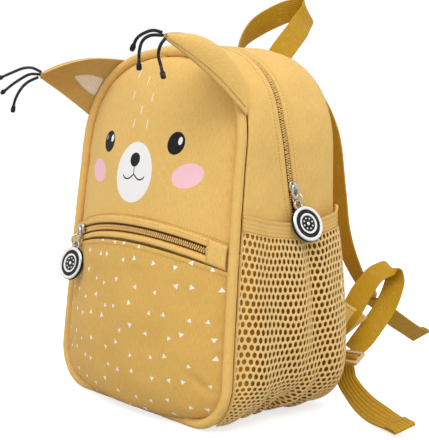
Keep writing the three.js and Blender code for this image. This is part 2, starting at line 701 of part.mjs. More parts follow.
function straps(side) {
  const hand = side > 0 ? "right" : "left";
  const top = BACK.top * 0.94;
  const anchor = vec(side * BAG_WIDTH * 0.19, backSeam(top) + BACK_BULGE * 0.75 + WEBBING_THICK, top);
  const strap = stationsFrom(anchor, STRAP_DROP, side, STRAP);
  webbing(`shoulder_strap_${hand}`, strap, WEBBING);
  const low = strap.at(-1);
  const down = vec(side * 0.41, 0.2, -0.89).normalize();
  const reach = SLIDER_LENGTH / 2 + 0.6 + GAP;
  slider(`strap_slider_${hand}`, low.at.clone().addScaledVector(down, reach), low.across, down);
  const tailFrom = low.at.clone().addScaledVector(down, 2 * reach + 1);
  webbing(`strap_tail_${hand}`, stationsFrom(tailFrom, TAIL, side, STRAP_TAIL), WEBBING, true);

  const rootHeight = TAB_HEIGHT;
  const root = vec(side * (halfWidthAt(BACK, rootHeight) - CLOTH), backSeam(rootHeight) + CLOTH, rootHeight);
  const apex = root.clone().add(vec(side * TAB_REACH * 0.55, TAB_REACH * 0.85, 1));
  const half = TAB_LENGTH / 2;
  const corners = [vec(root.x, root.y, rootHeight + half), apex, vec(root.x, root.y, rootHeight - half)];
  const thick = vec(side * 0.8, -0.6, 0).multiplyScalar(CLOTH);
  add(`strap_tab_${hand}`, "canvas", loft([corners, corners.map((p) => p.clone().add(thick))]));

  const loop = stationsFrom(apex, LOOP_REACH, side, LOOP);
  webbing(`webbing_loop_${hand}`, loop, WEBBING);
  const end = loop.at(-1);
  const fall = vec(side * 0.25, -0.87, -0.42).normalize();
  slider(`loop_slider_${hand}`, end.at.clone().addScaledVector(fall, reach), end.across, fall);
  const tail = end.at.clone().addScaledVector(fall, 2 * reach + 1);
  webbing(`loop_tail_${hand}`, stationsFrom(tail, TAIL, side, LOOP_TAIL), WEBBING, true);
}

// A zip's slider, its pull link, a round ring and a flat disc with a lug
function pull(name, seat, faces, tilt) {
  const oval = (w, l, count) => {
    const path = new THREE.Path();
    path.absellipse(0, 0, w / 2, l / 2, 0, 2 * Math.PI);
    return path.getPoints(count).slice(0, -1);
  };
  const normal = faces.clone().normalize();
  const up = vec(0, 0, 1).addScaledVector(normal, -normal.z).normalize();
  const spot = (rise, high) => seat.clone().addScaledVector(normal, rise).addScaledVector(up, high);

  const top = SLIDER_BODY / 2;
  const bodyShape = new THREE.Shape(
    [[-0.32, -1], [0.32, -1], [0.5, 0.1], [0.36, 1], [-0.36, 1], [-0.5, 0.1]].map(
      ([x, y]) => new THREE.Vector2(x * LINK_WIDTH, y * top),
    ),
  );
  const body = new THREE.ExtrudeGeometry(bodyShape, { depth: BODY_THICK, bevelEnabled: false });
  place(add(`${name}_slider`, "metal", body), { at: spot(0, LINK_LENGTH * 0.3), faces: normal, top: up });

  const linkShape = new THREE.Shape(oval(LINK_WIDTH, LINK_LENGTH, 16));
  linkShape.holes.push(new THREE.Path(oval(LINK_WIDTH * 0.5, LINK_LENGTH * 0.6, 10).reverse()));
  const link = new THREE.ExtrudeGeometry(linkShape, { depth: LINK_THICK, bevelEnabled: false });
  const front = BODY_THICK + GAP;
  place(add(`${name}_pull`, "metal", link), { at: spot(front, 0), faces: normal, top: up });

  // The ring goes through the link's hole, behind its lower end and through the disc's lug.
  const ring = spot(front + LINK_THICK / 2 + RING / 2 - 2.7, -LINK_LENGTH * 0.115 - RING / 2);
  const sideways = new THREE.Vector3().crossVectors(up, normal);
  const wire = new THREE.TorusGeometry(RING / 2, RING_WIRE / 2, 6, 16);
  place(add(`${name}_ring`, "metal", wire), { at: ring, faces: sideways, top: up });

  const radius = CHARM / 2;
  const half = CHARM_LUG / 2;
  const lug = Math.asin(half / radius);
  const hole = radius + CHARM_LUG * 0.25;
  const shape = new THREE.Shape();
  shape.moveTo(half, radius * Math.cos(lug));
  shape.lineTo(half, hole + half);
  shape.lineTo(-half, hole + half);
  shape.lineTo(-half, radius * Math.cos(lug));
  shape.absarc(0, 0, radius, Math.PI / 2 + lug, Math.PI / 2 - lug + 2 * Math.PI, false);
  const eye = new THREE.Path();
  eye.absarc(0, hole, RING_WIRE * 1.9, 0, 2 * Math.PI, true);
  shape.holes.push(new THREE.Path(eye.getPoints(4).slice(0, -1)));
  const disc = new THREE.ExtrudeGeometry(shape, { depth: CHARM_THICK, bevelEnabled: false, curveSegments: 14 });
  disc.translate(0, -hole, -CHARM_THICK / 2);
  const hung = ring.clone().addScaledVector(up, -RING / 2 + 0.15);
  place(add(`${name}_charm`, "charm", disc), { at: hung, faces: tilt.faces, top: tilt.top });
}

// Sets a piece by its middle, the way it faces and the way its top points.
function place(mesh, { at, faces, top }) {
  const z = faces.clone().normalize();
  const x = new THREE.Vector3().crossVectors(top, z).normalize();
  const y = new THREE.Vector3().crossVectors(z, x);
  mesh.position.copy(at);
  mesh.quaternion.setFromRotationMatrix(new THREE.Matrix4().makeBasis(x, y, z));
}

function pulls() {
  const height = HEM_HEIGHT + CHARM * 0.42;
  const spot = placeOfHeight(FRONT, height);
  const seat = sidePoint(spot, zipShare(spot), ZIP_THICK - CLOTH);
  pull("main", seat, vec(1, 0, 0.06), { faces: vec(0.93, -0.14, 0.38), top: vec(-0.5, -0.24, 0.9) });
  const x = -BAG_WIDTH * 0.325;
  const z = mouthMiddle(x) - 2;
  const front = vec(x, faceAt(x, z) - BAND_THICK - 1.9, z);
  pull("pocket", front, vec(-0.38, -1, 0.02), { faces: vec(-0.3, -0.95, 0.14), top: vec(0.1, 0.1, 1) });
}

frontPanel();
pocketPanel();
pocketMouth();
frontPiping();
gussets();
backPanel();
for (const side of [1, -1]) {
  const hand = side > 0 ? "right" : "left";
  add(`net_${hand}`, "net", net(side));
  add(`net_hem_${hand}`, "net", hem(side));
  straps(side);
}
ears();
cords();
handle();
pulls();

export default bag;
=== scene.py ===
"""A small child's animal backpack of mustard canvas, with net pockets, webbing, zips and corded ears.

Lengths in the functions below are millimetres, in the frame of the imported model: +X to the viewer's
right of the printed face, the face towards -Y, +Z up, the origin in the middle of the base. Meshes are
in metres.
"""

import math
import bpy
from bpy.props import FloatProperty, FloatVectorProperty, IntProperty, PointerProperty
from mathutils import Matrix, Vector, noise


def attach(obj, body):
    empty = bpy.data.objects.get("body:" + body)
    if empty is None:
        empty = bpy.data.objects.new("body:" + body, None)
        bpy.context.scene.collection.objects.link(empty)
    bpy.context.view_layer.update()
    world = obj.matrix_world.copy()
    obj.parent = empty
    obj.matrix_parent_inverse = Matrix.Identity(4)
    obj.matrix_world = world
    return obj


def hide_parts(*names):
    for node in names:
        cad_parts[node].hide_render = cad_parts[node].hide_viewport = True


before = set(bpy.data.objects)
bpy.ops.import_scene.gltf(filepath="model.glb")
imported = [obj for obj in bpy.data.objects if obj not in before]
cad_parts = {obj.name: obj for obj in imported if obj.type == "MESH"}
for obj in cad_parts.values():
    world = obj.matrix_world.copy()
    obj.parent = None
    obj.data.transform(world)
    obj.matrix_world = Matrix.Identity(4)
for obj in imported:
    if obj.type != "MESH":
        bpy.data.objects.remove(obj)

bl_info = {
    "name": "Animal Backpack",
    "version": (1, 0, 0),
    "blender": (4, 5, 0),
    "location": "3D View > Sidebar > Backpack",
    "description": "Builds a small child's animal backpack: canvas, nets, webbing, zips and cords",
    "category": "Add Mesh",
}

MM = 0.001

# Sizes of the bag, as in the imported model
BAG_WIDTH = 230
BAG_HEIGHT = 315
BAG_DEPTH = 131
FRONT_BULGE = 25
BACK_BULGE = 9
TOP_LEAN = 38.6
BACK_LEAN = 5
CLOTH = 1.6
GAP = 0.35
PIPING = 8.4
ZIP_WIDTH = 7
BAND_THICK = 2.6
ZIP_PLACE = 0.39
ZIP_DRIFT = 0.0021
ZIP_STRAIGHT_FROM = 250
ZIP_END_HEIGHT = 146
POCKET_HEIGHT = 170
POCKET_ARCH = 18
POCKET_MOUTH = 20
POCKET_PROUD = 9
POCKET_DEPTH = 17
END_PATCH = 15
NET_THICK = 1.4
NET_BULGE = 24
NET_CLEAR = 1.2
NET_FOOT = 0.27
HEM_HEIGHT = 178
HEM_FALL = 8
HEM_DIP = 9
HEM_BAND = 14
HEM_STAND_OFF = 10
SEAM_START = 0.045
SEAM_END = 0.985
CREASE = 6
EAR_THICK = 7
EAR_FROM = 0.757
EAR_TO = 0.905
EAR_TIP = 5
EAR_BOW = 5
CORD = 2.6
KNOT = 4.4
WEBBING = 20
WEBBING_THICK = 1.6
HANDLE_WIDTH = 22
HANDLE_REACH = 63
STRAP_DROP = 200
LOOP_REACH = 50
TAIL = 90
HEM_FOLD = 14
TAB_HEIGHT = 75
TAB_LENGTH = 48
TAB_REACH = 22
SLIDER_WIDTH = 27
SLIDER_LENGTH = 16
SLIDER_THICK = 2.6
SLIDER_SLOT = 3
CHARM = 31
CHARM_THICK = 4.4
CHARM_LUG = 8
RING = 10
RING_WIRE = 1.5
LINK_WIDTH = 9
LINK_LENGTH = 13
LINK_THICK = 2.2
BODY_THICK = 2.6

BASE_END = 0.2
CORNER_END = 0.4
SIDE_END = 0.7
FRONT = {
    "half_base": BAG_WIDTH / 2,
    "corner": BAG_WIDTH * 0.174,
    "half_shoulder": BAG_WIDTH * 0.4696,
    "shoulder": BAG_HEIGHT * 0.695,
    "top": BAG_HEIGHT,
    "fullness": 2.5,
}
BACK = {
    "half_base": BAG_WIDTH * 0.487,
    "corner": BAG_WIDTH * 0.1957,
    "half_shoulder": BAG_WIDTH * 0.4696,
    "shoulder": BAG_HEIGHT * 0.705,
    "top": BAG_HEIGHT * 1.006,
    "fullness": 2.3,
}
BAG_MIDDLE = Vector((0, 8, 150))
SIDES = (("right", 1), ("left", -1))


def vec(x, y, z):
    return Vector((x, y, z))


def lerp(a, b, t):
    return a + (b - a) * t


def clamp(value, low=0.0, high=1.0):
    return max(low, min(high, value))


def smooth(value, low, high):
    t = clamp((value - low) / (high - low))
    return t * t * (3 - 2 * t)


def steps(count, low=0.0, high=1.0):
    return [lerp(low, high, i / count) for i in range(count + 1)]


def bell(value, middle, width):
    return math.exp(-(((value - middle) / width) ** 2))


def ripple(point, size, depth):
    """A soft, unrepeating fold height at a point of the cloth."""
    return depth * noise.noise(point / size)


# The bag's outline, from the middle of the base (0) up one side to the top (1) and down the other (2)


def outline_at(panel, place, inset=0.0):
    turn = place % 2
    side = 1 if turn <= 1 else -1
    t = turn if turn <= 1 else 2 - turn
    flat = panel["half_base"] - panel["corner"]
    radius = panel["corner"] - inset
    if t < BASE_END:
        return side * flat * t / BASE_END, inset
    if t < CORNER_END:
        angle = (t - BASE_END) / (CORNER_END - BASE_END) * math.pi / 2
        return side * (flat + radius * math.sin(angle)), panel["corner"] - radius * math.cos(angle)
    if t < SIDE_END:
        k = (t - CORNER_END) / (SIDE_END - CORNER_END)
        x = lerp(panel["half_base"], panel["half_shoulder"], k) - inset
        return side * x, lerp(panel["corner"], panel["shoulder"], k)
    angle = (t - SIDE_END) / (1 - SIDE_END) * math.pi / 2
    power = 2 / panel["fullness"]
    x = (panel["half_shoulder"] - inset) * max(math.cos(angle), 0) ** power
    z = panel["shoulder"] + (panel["top"] - inset - panel["shoulder"]) * math.sin(angle) ** power
    return side * x, z


def half_width_at(panel, z, inset=0.0):
    radius = panel["corner"] - inset
    if z < panel["corner"]:
        drop = panel["corner"] - z
        return panel["half_base"] - panel["corner"] + math.sqrt(max(radius * radius - drop * drop, 0))
    if z < panel["shoulder"]:
        k = (z - panel["corner"]) / (panel["shoulder"] - panel["corner"])
        return lerp(panel["half_base"], panel["half_shoulder"], k) - inset
    k = clamp((z - panel["shoulder"]) / (panel["top"] - inset - panel["shoulder"]))
    power = panel["fullness"]
    return (panel["half_shoulder"] - inset) * (1 - k**power) ** (1 / power)


def edge_distance(x, z):
    """How far a point of the front lies inside its outline."""
    wide = half_width_at(FRONT, z) - abs(x)
    share = clamp(abs(x) / FRONT["half_shoulder"])
    power = FRONT["fullness"]
    top = FRONT["shoulder"] + (FRONT["top"] - FRONT["shoulder"]) * (1 - share**power) ** (1 / power)
    past = max(abs(x) - FRONT["half_base"] + FRONT["corner"], 0)
    foot = FRONT["corner"] - math.sqrt(max(FRONT["corner"] ** 2 - past * past, 0))
    tall = max(min(top - z, z - foot), 0.01)
    wide = max(wide, 0.01)
    return wide * tall / math.hypot(wide, tall)


def place_of_height(panel, z):
    k = (z - panel["corner"]) / (panel["shoulder"] - panel["corner"])
    return CORNER_END + k * (SIDE_END - CORNER_END)


def front_seam(z):
    share = z / BAG_HEIGHT
    return -BAG_DEPTH * 0.4733 + TOP_LEAN * (0.714 * share + 0.286 * share * share)


def back_seam(z):
    return BAG_DEPTH * 0.5267 + BACK_LEAN * z / BAG_HEIGHT


def crease_at(place, share):
    turn = place % 2
    around = ((turn if turn <= 1 else 2 - turn) - BASE_END) / 0.24
    if around <= 0 or around >= 1:
        return 0.0
    return CREASE * math.sin(math.pi * around) * bell(share, 0.4, 0.18)


def fullness_at(z):
    q = clamp(z / BAG_HEIGHT, 0.001, 0.999)
    return (4 * q * (1 - q)) ** 0.45


def side_normal(place):
    ahead = outline_at(FRONT, place + 0.004)
    behind = outline_at(FRONT, place - 0.004)
    x, z = ahead[0] - behind[0], ahead[1] - behind[1]
    length = math.hypot(x, z)
    return z / length, -x / length


def side_point(place, share, lift=0.0):
    front, back = outline_at(FRONT, place), outline_at(BACK, place)
    nx, nz = side_normal(place)
    out = lift - crease_at(place, share)
    x = lerp(front[0], back[0], share) + nx * out
    z = lerp(front[1], back[1], share) + nz * out
    return vec(x, lerp(front_seam(front[1]), back_seam(back[1]), share), z)


def depth_at(place):
    return back_seam(outline_at(BACK, place)[1]) - front_seam(outline_at(FRONT, place)[1])


PANEL_INSET = PIPING + 2 * GAP
PANEL_TUCK = PIPING - 2.2


def face_at(x, z):
    share = clamp(x / max(half_width_at(FRONT, z, PANEL_INSET), 1), -1, 1)
    return front_seam(z) - FRONT_BULGE * fullness_at(z) * (1 - share * share)


def arch_at(x, height):
    return height - POCKET_ARCH * (x / (BAG_WIDTH * 0.448)) ** 2


def mouth_top(x):
    return arch_at(x, POCKET_HEIGHT)


def mouth_middle(x):
    return arch_at(x, POCKET_HEIGHT - POCKET_MOUTH / 2 - GAP)


def mouth_bottom(x):
    return arch_at(x, POCKET_HEIGHT - POCKET_MOUTH)


def proud_at(x, z):
    share = clamp(x / half_width_at(FRONT, z, PANEL_INSET), -1, 1)
    rise = clamp(z / mouth_bottom(x))
    swell = math.sin(math.pi * rise**0.7) ** 0.7
    return (BAND_THICK + (POCKET_PROUD - BAND_THICK) * swell) * (1 - share**4)


def zip_share(place):
    z = outline_at(FRONT, place)[1]
    return ZIP_PLACE + ZIP_DRIFT * max(ZIP_STRAIGHT_FROM - z, 0)


def hem_top(share):
    return HEM_HEIGHT - HEM_FALL * share - HEM_DIP * math.sin(math.pi * share)


def swell_across(share):
    return math.sin(math.pi * clamp(share, 0.001, 0.999)) ** 0.35 * (0.35 + 1.25 * share * share)


# Meshes


def mesh_of(name, points, faces, uvs, away=None):
    """A mesh from points in millimetres; its faces look away from a point, or out of a closed body."""
    mesh = bpy.data.meshes.new(name)
    mesh.from_pydata([p * MM for p in points], [], faces)
    layer = mesh.uv_layers.new(name="Cloth")
    for loop in mesh.loops:
        layer.data[loop.index].uv = uvs[loop.vertex_index]
    mesh.update()
    if away is None:
        facing = sum(p.normal.dot(p.center) * p.area for p in mesh.polygons)
    else:
        middle = away * MM
        facing = sum(p.normal.dot(p.center - middle) * p.area for p in mesh.polygons)
    if facing < 0:
        mesh.flip_normals()
    mesh.shade_smooth()
    return mesh


def cloth_map(rows):
    """Flat cloth coordinates in metres for a net of points: across each row and along the rows."""
    middle = len(rows[0]) // 2
    along = [0.0]
    for above, below in zip(rows, rows[1:]):
        along.append(along[-1] + (below[middle] - above[middle]).length)
    uvs = []
    for row, v in zip(rows, along):
        across = [0.0]
        for a, b in zip(row, row[1:]):
            across.append(across[-1] + (b - a).length)
        uvs += [((u - across[-1] / 2) * MM, v * MM) for u in across]
    return uvs


def sheet_mesh(name, rows, away=BAG_MIDDLE):
    cols = len(rows[0])
    faces = []
    for i in range(len(rows) - 1):
        a, b = i * cols, (i + 1) * cols
        faces += [(a + j, b + j, b + j + 1, a + j + 1) for j in range(cols - 1)]
    return mesh_of(name, [p for row in rows for p in row], faces, cloth_map(rows), away)


def body_mesh(name, sections, ringed=False):
    """A closed body through closed sections, capped at its ends unless it is ringed."""
    m, n = len(sections[0]), len(sections)
    faces = []
    for i in range(n if ringed else n - 1):
        a, b = i * m, ((i + 1) % n) * m
        faces += [(a + j, b + j, b + (j + 1) % m, a + (j + 1) % m) for j in range(m)]
    if not ringed:
        faces += [tuple(range(m))[::-1], tuple((n - 1) * m + j for j in range(m))]
    uvs = cloth_map([s + [s[0]] for s in sections])
    uvs = [uv for i in range(n) for uv in uvs[i * (m + 1) : i * (m + 1) + m]]
    mesh = mesh_of(name, [p for s in sections for p in s], faces, uvs)
    if sum(p.normal.dot(p.center - mesh.vertices[0].co) * p.area for p in mesh.polygons) < 0:
        mesh.flip_normals()
    return mesh


def add_piece(name, mesh, material, nodes=(), wall=0.0, levels=0, bevel=0.0):
    obj = bpy.data.objects.new(name, mesh)
    bpy.context.scene.collection.objects.link(obj)
    if not mesh.materials:
        mesh.materials.append(material)
    if wall:
        solid = obj.modifiers.new("Cloth thickness", "SOLIDIFY")
        solid.thickness = wall * MM
        solid.offset = -1
    if bevel:
        edge = obj.modifiers.new("Worn edges", "BEVEL")
        edge.width = bevel * MM
        edge.segments = 2
        edge.limit_method = "ANGLE"
    if levels:
        soft = obj.modifiers.new("Softness", "SUBSURF")
        soft.levels = levels
        soft.render_levels = levels
    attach(obj, "root")
    if nodes:
        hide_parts(*nodes)
    return obj


def add_sheet(name, rows, material, nodes=(), wall=CLOTH, away=BAG_MIDDLE):
    return add_piece(name, sheet_mesh(name, rows, away), material, nodes, wall)


def joined(name, meshes):
    """One mesh out of several, each keeping its own material."""
    parts = []
    for mesh in meshes:
        parts.append(bpy.data.objects.new(name, mesh))
        bpy.context.scene.collection.objects.link(parts[-1])
    with bpy.context.temp_override(active_object=parts[0], selected_editable_objects=parts):
        bpy.ops.object.join()
    mesh = parts[0].data
    bpy.data.objects.remove(parts[0])
    return mesh


def placed(mesh, at, faces, top):
    """Moves a mesh drawn in its own plane to its place, the way it faces and the way its top points."""
    z = faces.normalized()
    x = top.cross(z).normalized()
    y = z.cross(x)
    turn = Matrix((x, y, z)).transposed().to_4x4()
    mesh.transform(Matrix.Translation(at * MM) @ turn)
    return mesh


def plate(name, loops, depth, rounding, material):
    """A flat plate with a rounded rim; the first loop is its outline and the others are its holes."""
    curve = bpy.data.curves.new(name, "CURVE")
    curve.dimensions = "2D"
    curve.fill_mode = "BOTH"
    for loop in loops:
        line = curve.splines.new("POLY")
        line.points.add(len(loop) - 1)
        for point, (x, y) in zip(line.points, loop):
            point.co = (x * MM, y * MM, 0, 1)
        line.use_cyclic_u = True
    curve.offset = -rounding * MM
    curve.extrude = (depth / 2 - rounding) * MM
    curve.bevel_depth = rounding * MM
    curve.bevel_resolution = 2
    obj = bpy.data.objects.new(name, curve)
    mesh = bpy.data.meshes.new_from_object(obj)
    bpy.data.objects.remove(obj)
    mesh.materials.clear()
    mesh.materials.append(material)
    return mesh


def round_angles(count):
    return [2 * math.pi * k / count for k in range(count)]


def ellipse(width, height, count=32, x=0.0, y=0.0):
    return [(x + width / 2 * math.cos(a), y + height / 2 * math.sin(a)) for a in round_angles(count)]


# Smooth lines through points


def curve_point(points, t):
    """A centripetal Catmull-Rom curve through all the points."""
    last = len(points) - 1
    spot = last * t
    i = min(int(spot), last - 1)
    w = spot - i
    p1, p2 = points[i], points[i + 1]
    p0 = points[i - 1] if i else p1 * 2 - p2
    p3 = points[i + 2] if i + 2 <= last else p2 * 2 - p1
    d0, d1, d2 = ((b - a).length ** 0.5 or 1e-3 for a, b in ((p0, p1), (p1, p2), (p2, p3)))
    m1 = ((p1 - p0) / d0 - (p2 - p0) / (d0 + d1) + (p2 - p1) / d1) * d1
    m2 = ((p2 - p1) / d1 - (p3 - p1) / (d1 + d2) + (p3 - p2) / d2) * d1
    return p1 + m1 * w + (p2 * 3 - p1 * 3 - m1 * 2 - m2) * w * w + (p1 * 2 - p2 * 2 + m1 + m2) * w**3


def spaced(points, count):
    """Evenly spaced shares of a curve's own parameter."""
    fine = steps(400)
    run = [0.0]
    line = [curve_point(points, t) for t in fine]
    for a, b in zip(line, line[1:]):
        run.append(run[-1] + (b - a).length)
    shares = []
    k = 0
    for i in range(count + 1):
        goal = run[-1] * i / count
        while k < len(run) - 2 and run[k + 1] < goal:
            k += 1
        step = run[k + 1] - run[k] or 1
        shares.append(lerp(fine[k], fine[k + 1], clamp((goal - run[k]) / step)))
    return shares, run[-1]


# Node trees


def put(tree, kind, inputs=None, **settings):
    """Adds a node, sets it up, and feeds its inputs with values or other nodes' outputs."""
    node = tree.nodes.new(kind)
    for key, value in settings.items():
        setattr(node, key, value)
    for key, value in (inputs or {}).items():
        if isinstance(value, bpy.types.NodeSocket):
            tree.links.new(value, node.inputs[key])
        else:
            node.inputs[key].default_value = value
    return node


def calc(tree, operation, *values):
    return put(tree, "ShaderNodeMath", dict(enumerate(values)), operation=operation).outputs[0]


def blended(tree, share, a, b, kind="MIX"):
    node = put(tree, "ShaderNodeMix", data_type="RGBA", blend_type=kind)
    for socket, value in ((node.inputs[0], share), (node.inputs[6], a), (node.inputs[7], b)):
        if isinstance(value, bpy.types.NodeSocket):
            tree.links.new(value, socket)
        else:
            socket.default_value = value
    return node.outputs[2]


def vmath(tree, operation, a, b):
    """A vector operation; a distance or a dot product gives a number."""
    inputs = {0: a, "Scale" if operation == "SCALE" else 1: b}
    node = put(tree, "ShaderNodeVectorMath", inputs, operation=operation)
    return node.outputs["Value" if operation in {"DISTANCE", "DOT_PRODUCT"} else "Vector"]


def xyz(tree, vector):
    return put(tree, "ShaderNodeSeparateXYZ", {0: vector}).outputs


def ramp(tree, value, low, high):
    node = put(tree, "ShaderNodeMapRange", {0: value, 1: low, 2: high}, interpolation_type="SMOOTHSTEP")
    return node.outputs[0]


def turned(tree, vector, angle):
    inputs = {0: vector, "Angle": angle}
    return put(tree, "ShaderNodeVectorRotate", inputs, rotation_type="Z_AXIS").outputs[0]


def new_group(name, kind, inputs, outputs):
    """A node group with typed, named sockets; gives the tree and its input and output nodes."""
    tree = bpy.data.node_groups.new(name, kind)
    for direction, sockets in (("INPUT", inputs), ("OUTPUT", outputs)):
        for label, socket, default in sockets:
            made = tree.interface.new_socket(label, in_out=direction, socket_type="NodeSocket" + socket)
            if default is not None:
                made.default_value = default
    return tree, tree.nodes.new("NodeGroupInput").outputs, tree.nodes.new("NodeGroupOutput").inputs


def wire(tree, output, socket):
    tree.links.new(output, socket)


def weave_group():
    """Flecked woven cloth: lighter and darker yarns, and the height of the crossing threads."""
    tree, give, take = new_group(
        "Woven cloth",
        "ShaderNodeTree",
        [
            ("Place", "Vector", None),
            ("Cloth map", "Vector", None),
            ("Colour", "Color", (0.7, 0.5, 0.2, 1)),
            ("Flecks", "Float", 0.2),
            ("Fleck size", "Float", 1.1),
            ("Thread pitch", "Float", 0.9),
        ],
        [("Colour", "Color", None), ("Height", "Float", None)],
    )
    scale = calc(tree, "DIVIDE", 1000.0, give["Fleck size"])
    grain = {"Vector": give["Place"], "Scale": scale, "Detail": 2.0, "Roughness": 0.7}
    fine = put(tree, "ShaderNodeTexNoise", grain)
    broad = put(tree, "ShaderNodeTexNoise", {"Vector": give["Place"], "Scale": 55.0, "Detail": 2.0})
    stretch = put(tree, "ShaderNodeMapping", {"Vector": give["Cloth map"], "Scale": (1400.0, 160.0, 1.0)})
    yarn = put(tree, "ShaderNodeTexNoise", {"Vector": stretch.outputs[0], "Scale": 1.0, "Detail": 1.0})
    speck = calc(tree, "SUBTRACT", fine.outputs[0], 0.5)
    cloud = calc(tree, "MULTIPLY", calc(tree, "SUBTRACT", broad.outputs[0], 0.5), 0.06)
    slub = calc(tree, "MULTIPLY", calc(tree, "SUBTRACT", yarn.outputs[0], 0.5), give["Flecks"])
    fleck = calc(tree, "MULTIPLY", speck, give["Flecks"])
    total = calc(tree, "ADD", fleck, calc(tree, "ADD", cloud, slub))
    light = calc(tree, "ADD", total, 1.0)
    wire(tree, vmath(tree, "SCALE", give["Colour"], light), take["Colour"])
    turn = calc(tree, "DIVIDE", 1000.0 * math.pi, give["Thread pitch"])
    across, along, _ = xyz(tree, give["Cloth map"])
    warp = calc(tree, "SINE", calc(tree, "MULTIPLY", across, turn))
    weft = calc(tree, "SINE", calc(tree, "MULTIPLY", along, turn))
    cross = calc(tree, "MULTIPLY", warp, weft)
    wire(tree, calc(tree, "ADD", calc(tree, "MULTIPLY", cross, 0.4), fine.outputs[0]), take["Height"])
    return tree


def rib_group():
    """Ribs that run along a band, crossed by its fine weft, with painted shade in the grooves."""
    tree, give, take = new_group(
        "Band ribs",
        "ShaderNodeTree",
        [
            ("Cloth map", "Vector", None),
            ("Colour", "Color", (0.7, 0.5, 0.1, 1)),
            ("Rib pitch", "Float", 2.0),
            ("Weft pitch", "Float", 0.9),
            ("Rib depth", "Float", 0.6),
        ],
        [("Colour", "Color", None), ("Height", "Float", None)],
    )
    across, along, _ = xyz(tree, give["Cloth map"])
    ribs = calc(tree, "DIVIDE", 2000.0 * math.pi, give["Rib pitch"])
    wefts = calc(tree, "DIVIDE", 2000.0 * math.pi, give["Weft pitch"])
    rib = calc(tree, "SINE", calc(tree, "MULTIPLY", across, ribs))
    slant = calc(tree, "ADD", along, calc(tree, "MULTIPLY", across, 0.35))
    weft = calc(tree, "SINE", calc(tree, "MULTIPLY", slant, wefts))
    depth = calc(tree, "MULTIPLY", rib, give["Rib depth"])
    height = calc(tree, "ADD", depth, calc(tree, "MULTIPLY", weft, 0.35))
    wire(tree, height, take["Height"])
    # The colour is lighter on the rib tops and darker in the grooves: painted shade.
    light = calc(tree, "MULTIPLY_ADD", height, 0.09, 1.0)
    wire(tree, vmath(tree, "SCALE", give["Colour"], light), take["Colour"])
    return tree


def oval_group():
    """A printed oval: 1 inside and 0 outside, on the plane that faces the front."""
    tree, give, take = new_group(
        "Printed oval",
        "ShaderNodeTree",
        [
            ("Place", "Vector", None),
            ("Across", "Float", 0.0),
            ("Height", "Float", 0.0),
            ("Width", "Float", 10.0),
            ("Length", "Float", 10.0),
            ("Turn", "Float", 0.0),
            ("Taper", "Float", 0.0),
        ],
        [("Mask", "Float", None)],
    )
    x, _, z = xyz(tree, give["Place"])
    x = calc(tree, "SUBTRACT", x, give["Across"])
    z = calc(tree, "SUBTRACT", z, give["Height"])
    flat = put(tree, "ShaderNodeCombineXYZ", {0: x, 1: z}).outputs[0]
    x, z, _ = xyz(tree, turned(tree, flat, give["Turn"]))
    v = calc(tree, "DIVIDE", calc(tree, "MULTIPLY", z, 2.0), give["Length"])
    narrow = calc(tree, "SUBTRACT", 1.0, calc(tree, "MULTIPLY", v, give["Taper"]))
    wide = calc(tree, "MULTIPLY", give["Width"], narrow)
    u = calc(tree, "DIVIDE", calc(tree, "MULTIPLY", x, 2.0), wide)
    square = calc(tree, "ADD", calc(tree, "MULTIPLY", u, u), calc(tree, "MULTIPLY", v, v))
    far = calc(tree, "SQRT", square)
    half = calc(tree, "MULTIPLY", give["Width"], 0.5)
    past = calc(tree, "MULTIPLY", calc(tree, "SUBTRACT", 1.0, far), half)
    wire(tree, ramp(tree, past, -0.15, 0.15), take["Mask"])
    return tree


def stroke_group():
    """A printed stroke with round ends between two points of the front."""
    tree, give, take = new_group(
        "Printed stroke",
        "ShaderNodeTree",
        [
            ("Place", "Vector", None),
            ("From", "Vector", None),
            ("To", "Vector", None),
            ("Width", "Float", 1.0),
        ],
        [("Mask", "Float", None)],
    )
    x, _, z = xyz(tree, give["Place"])
    flat = put(tree, "ShaderNodeCombineXYZ", {0: x, 2: z}).outputs[0]
    off = vmath(tree, "SUBTRACT", flat, give["From"])
    run = vmath(tree, "SUBTRACT", give["To"], give["From"])
    length = vmath(tree, "DOT_PRODUCT", run, run)
    share = calc(tree, "DIVIDE", vmath(tree, "DOT_PRODUCT", off, run), length)
    near = vmath(tree, "SCALE", run, put(tree, "ShaderNodeClamp", {0: share}).outputs[0])
    gap = vmath(tree, "DISTANCE", off, near)
    past = calc(tree, "SUBTRACT", calc(tree, "MULTIPLY", give["Width"], 0.5), gap)
    wire(tree, ramp(tree, past, -0.15, 0.15), take["Mask"])
    return tree


def wear_group():
    """Handling marks: faint rubbed patches that lighten a surface and roughen its gloss."""
    tree, give, take = new_group(
        "Rubbed marks",
        "ShaderNodeTree",
        [("Place", "Vector", None), ("Colour", "Color", (0.5, 0.5, 0.5, 1)), ("Amount", "Float", 0.15)],
        [("Colour", "Color", None), ("Mask", "Float", None)],
    )
    cloud = put(tree, "ShaderNodeTexNoise", {"Vector": give["Place"], "Scale": 240.0, "Detail": 4.0})
    mask = ramp(tree, cloud.outputs[0], 0.5, 0.75)
    share = calc(tree, "MULTIPLY", mask, give["Amount"])
    wire(tree, blended(tree, share, give["Colour"], (0.75, 0.72, 0.66, 1)), take["Colour"])
    wire(tree, share, take["Mask"])
    return tree


GROUPS = {}


def group(name):
    makers = {
        "weave": weave_group,
        "ribs": rib_group,
        "oval": oval_group,
        "stroke": stroke_group,
        "wear": wear_group,
    }
    if name not in GROUPS:
        GROUPS[name] = makers[name]()
    return GROUPS[name]


def shade(value):
    """A sRGB triple from 0 to 255 as a linear colour."""
    parts = [(c / 255) for c in value]
    return tuple(c / 12.92 if c <= 0.04045 else ((c + 0.055) / 1.055) ** 2.4 for c in parts) + (1.0,)


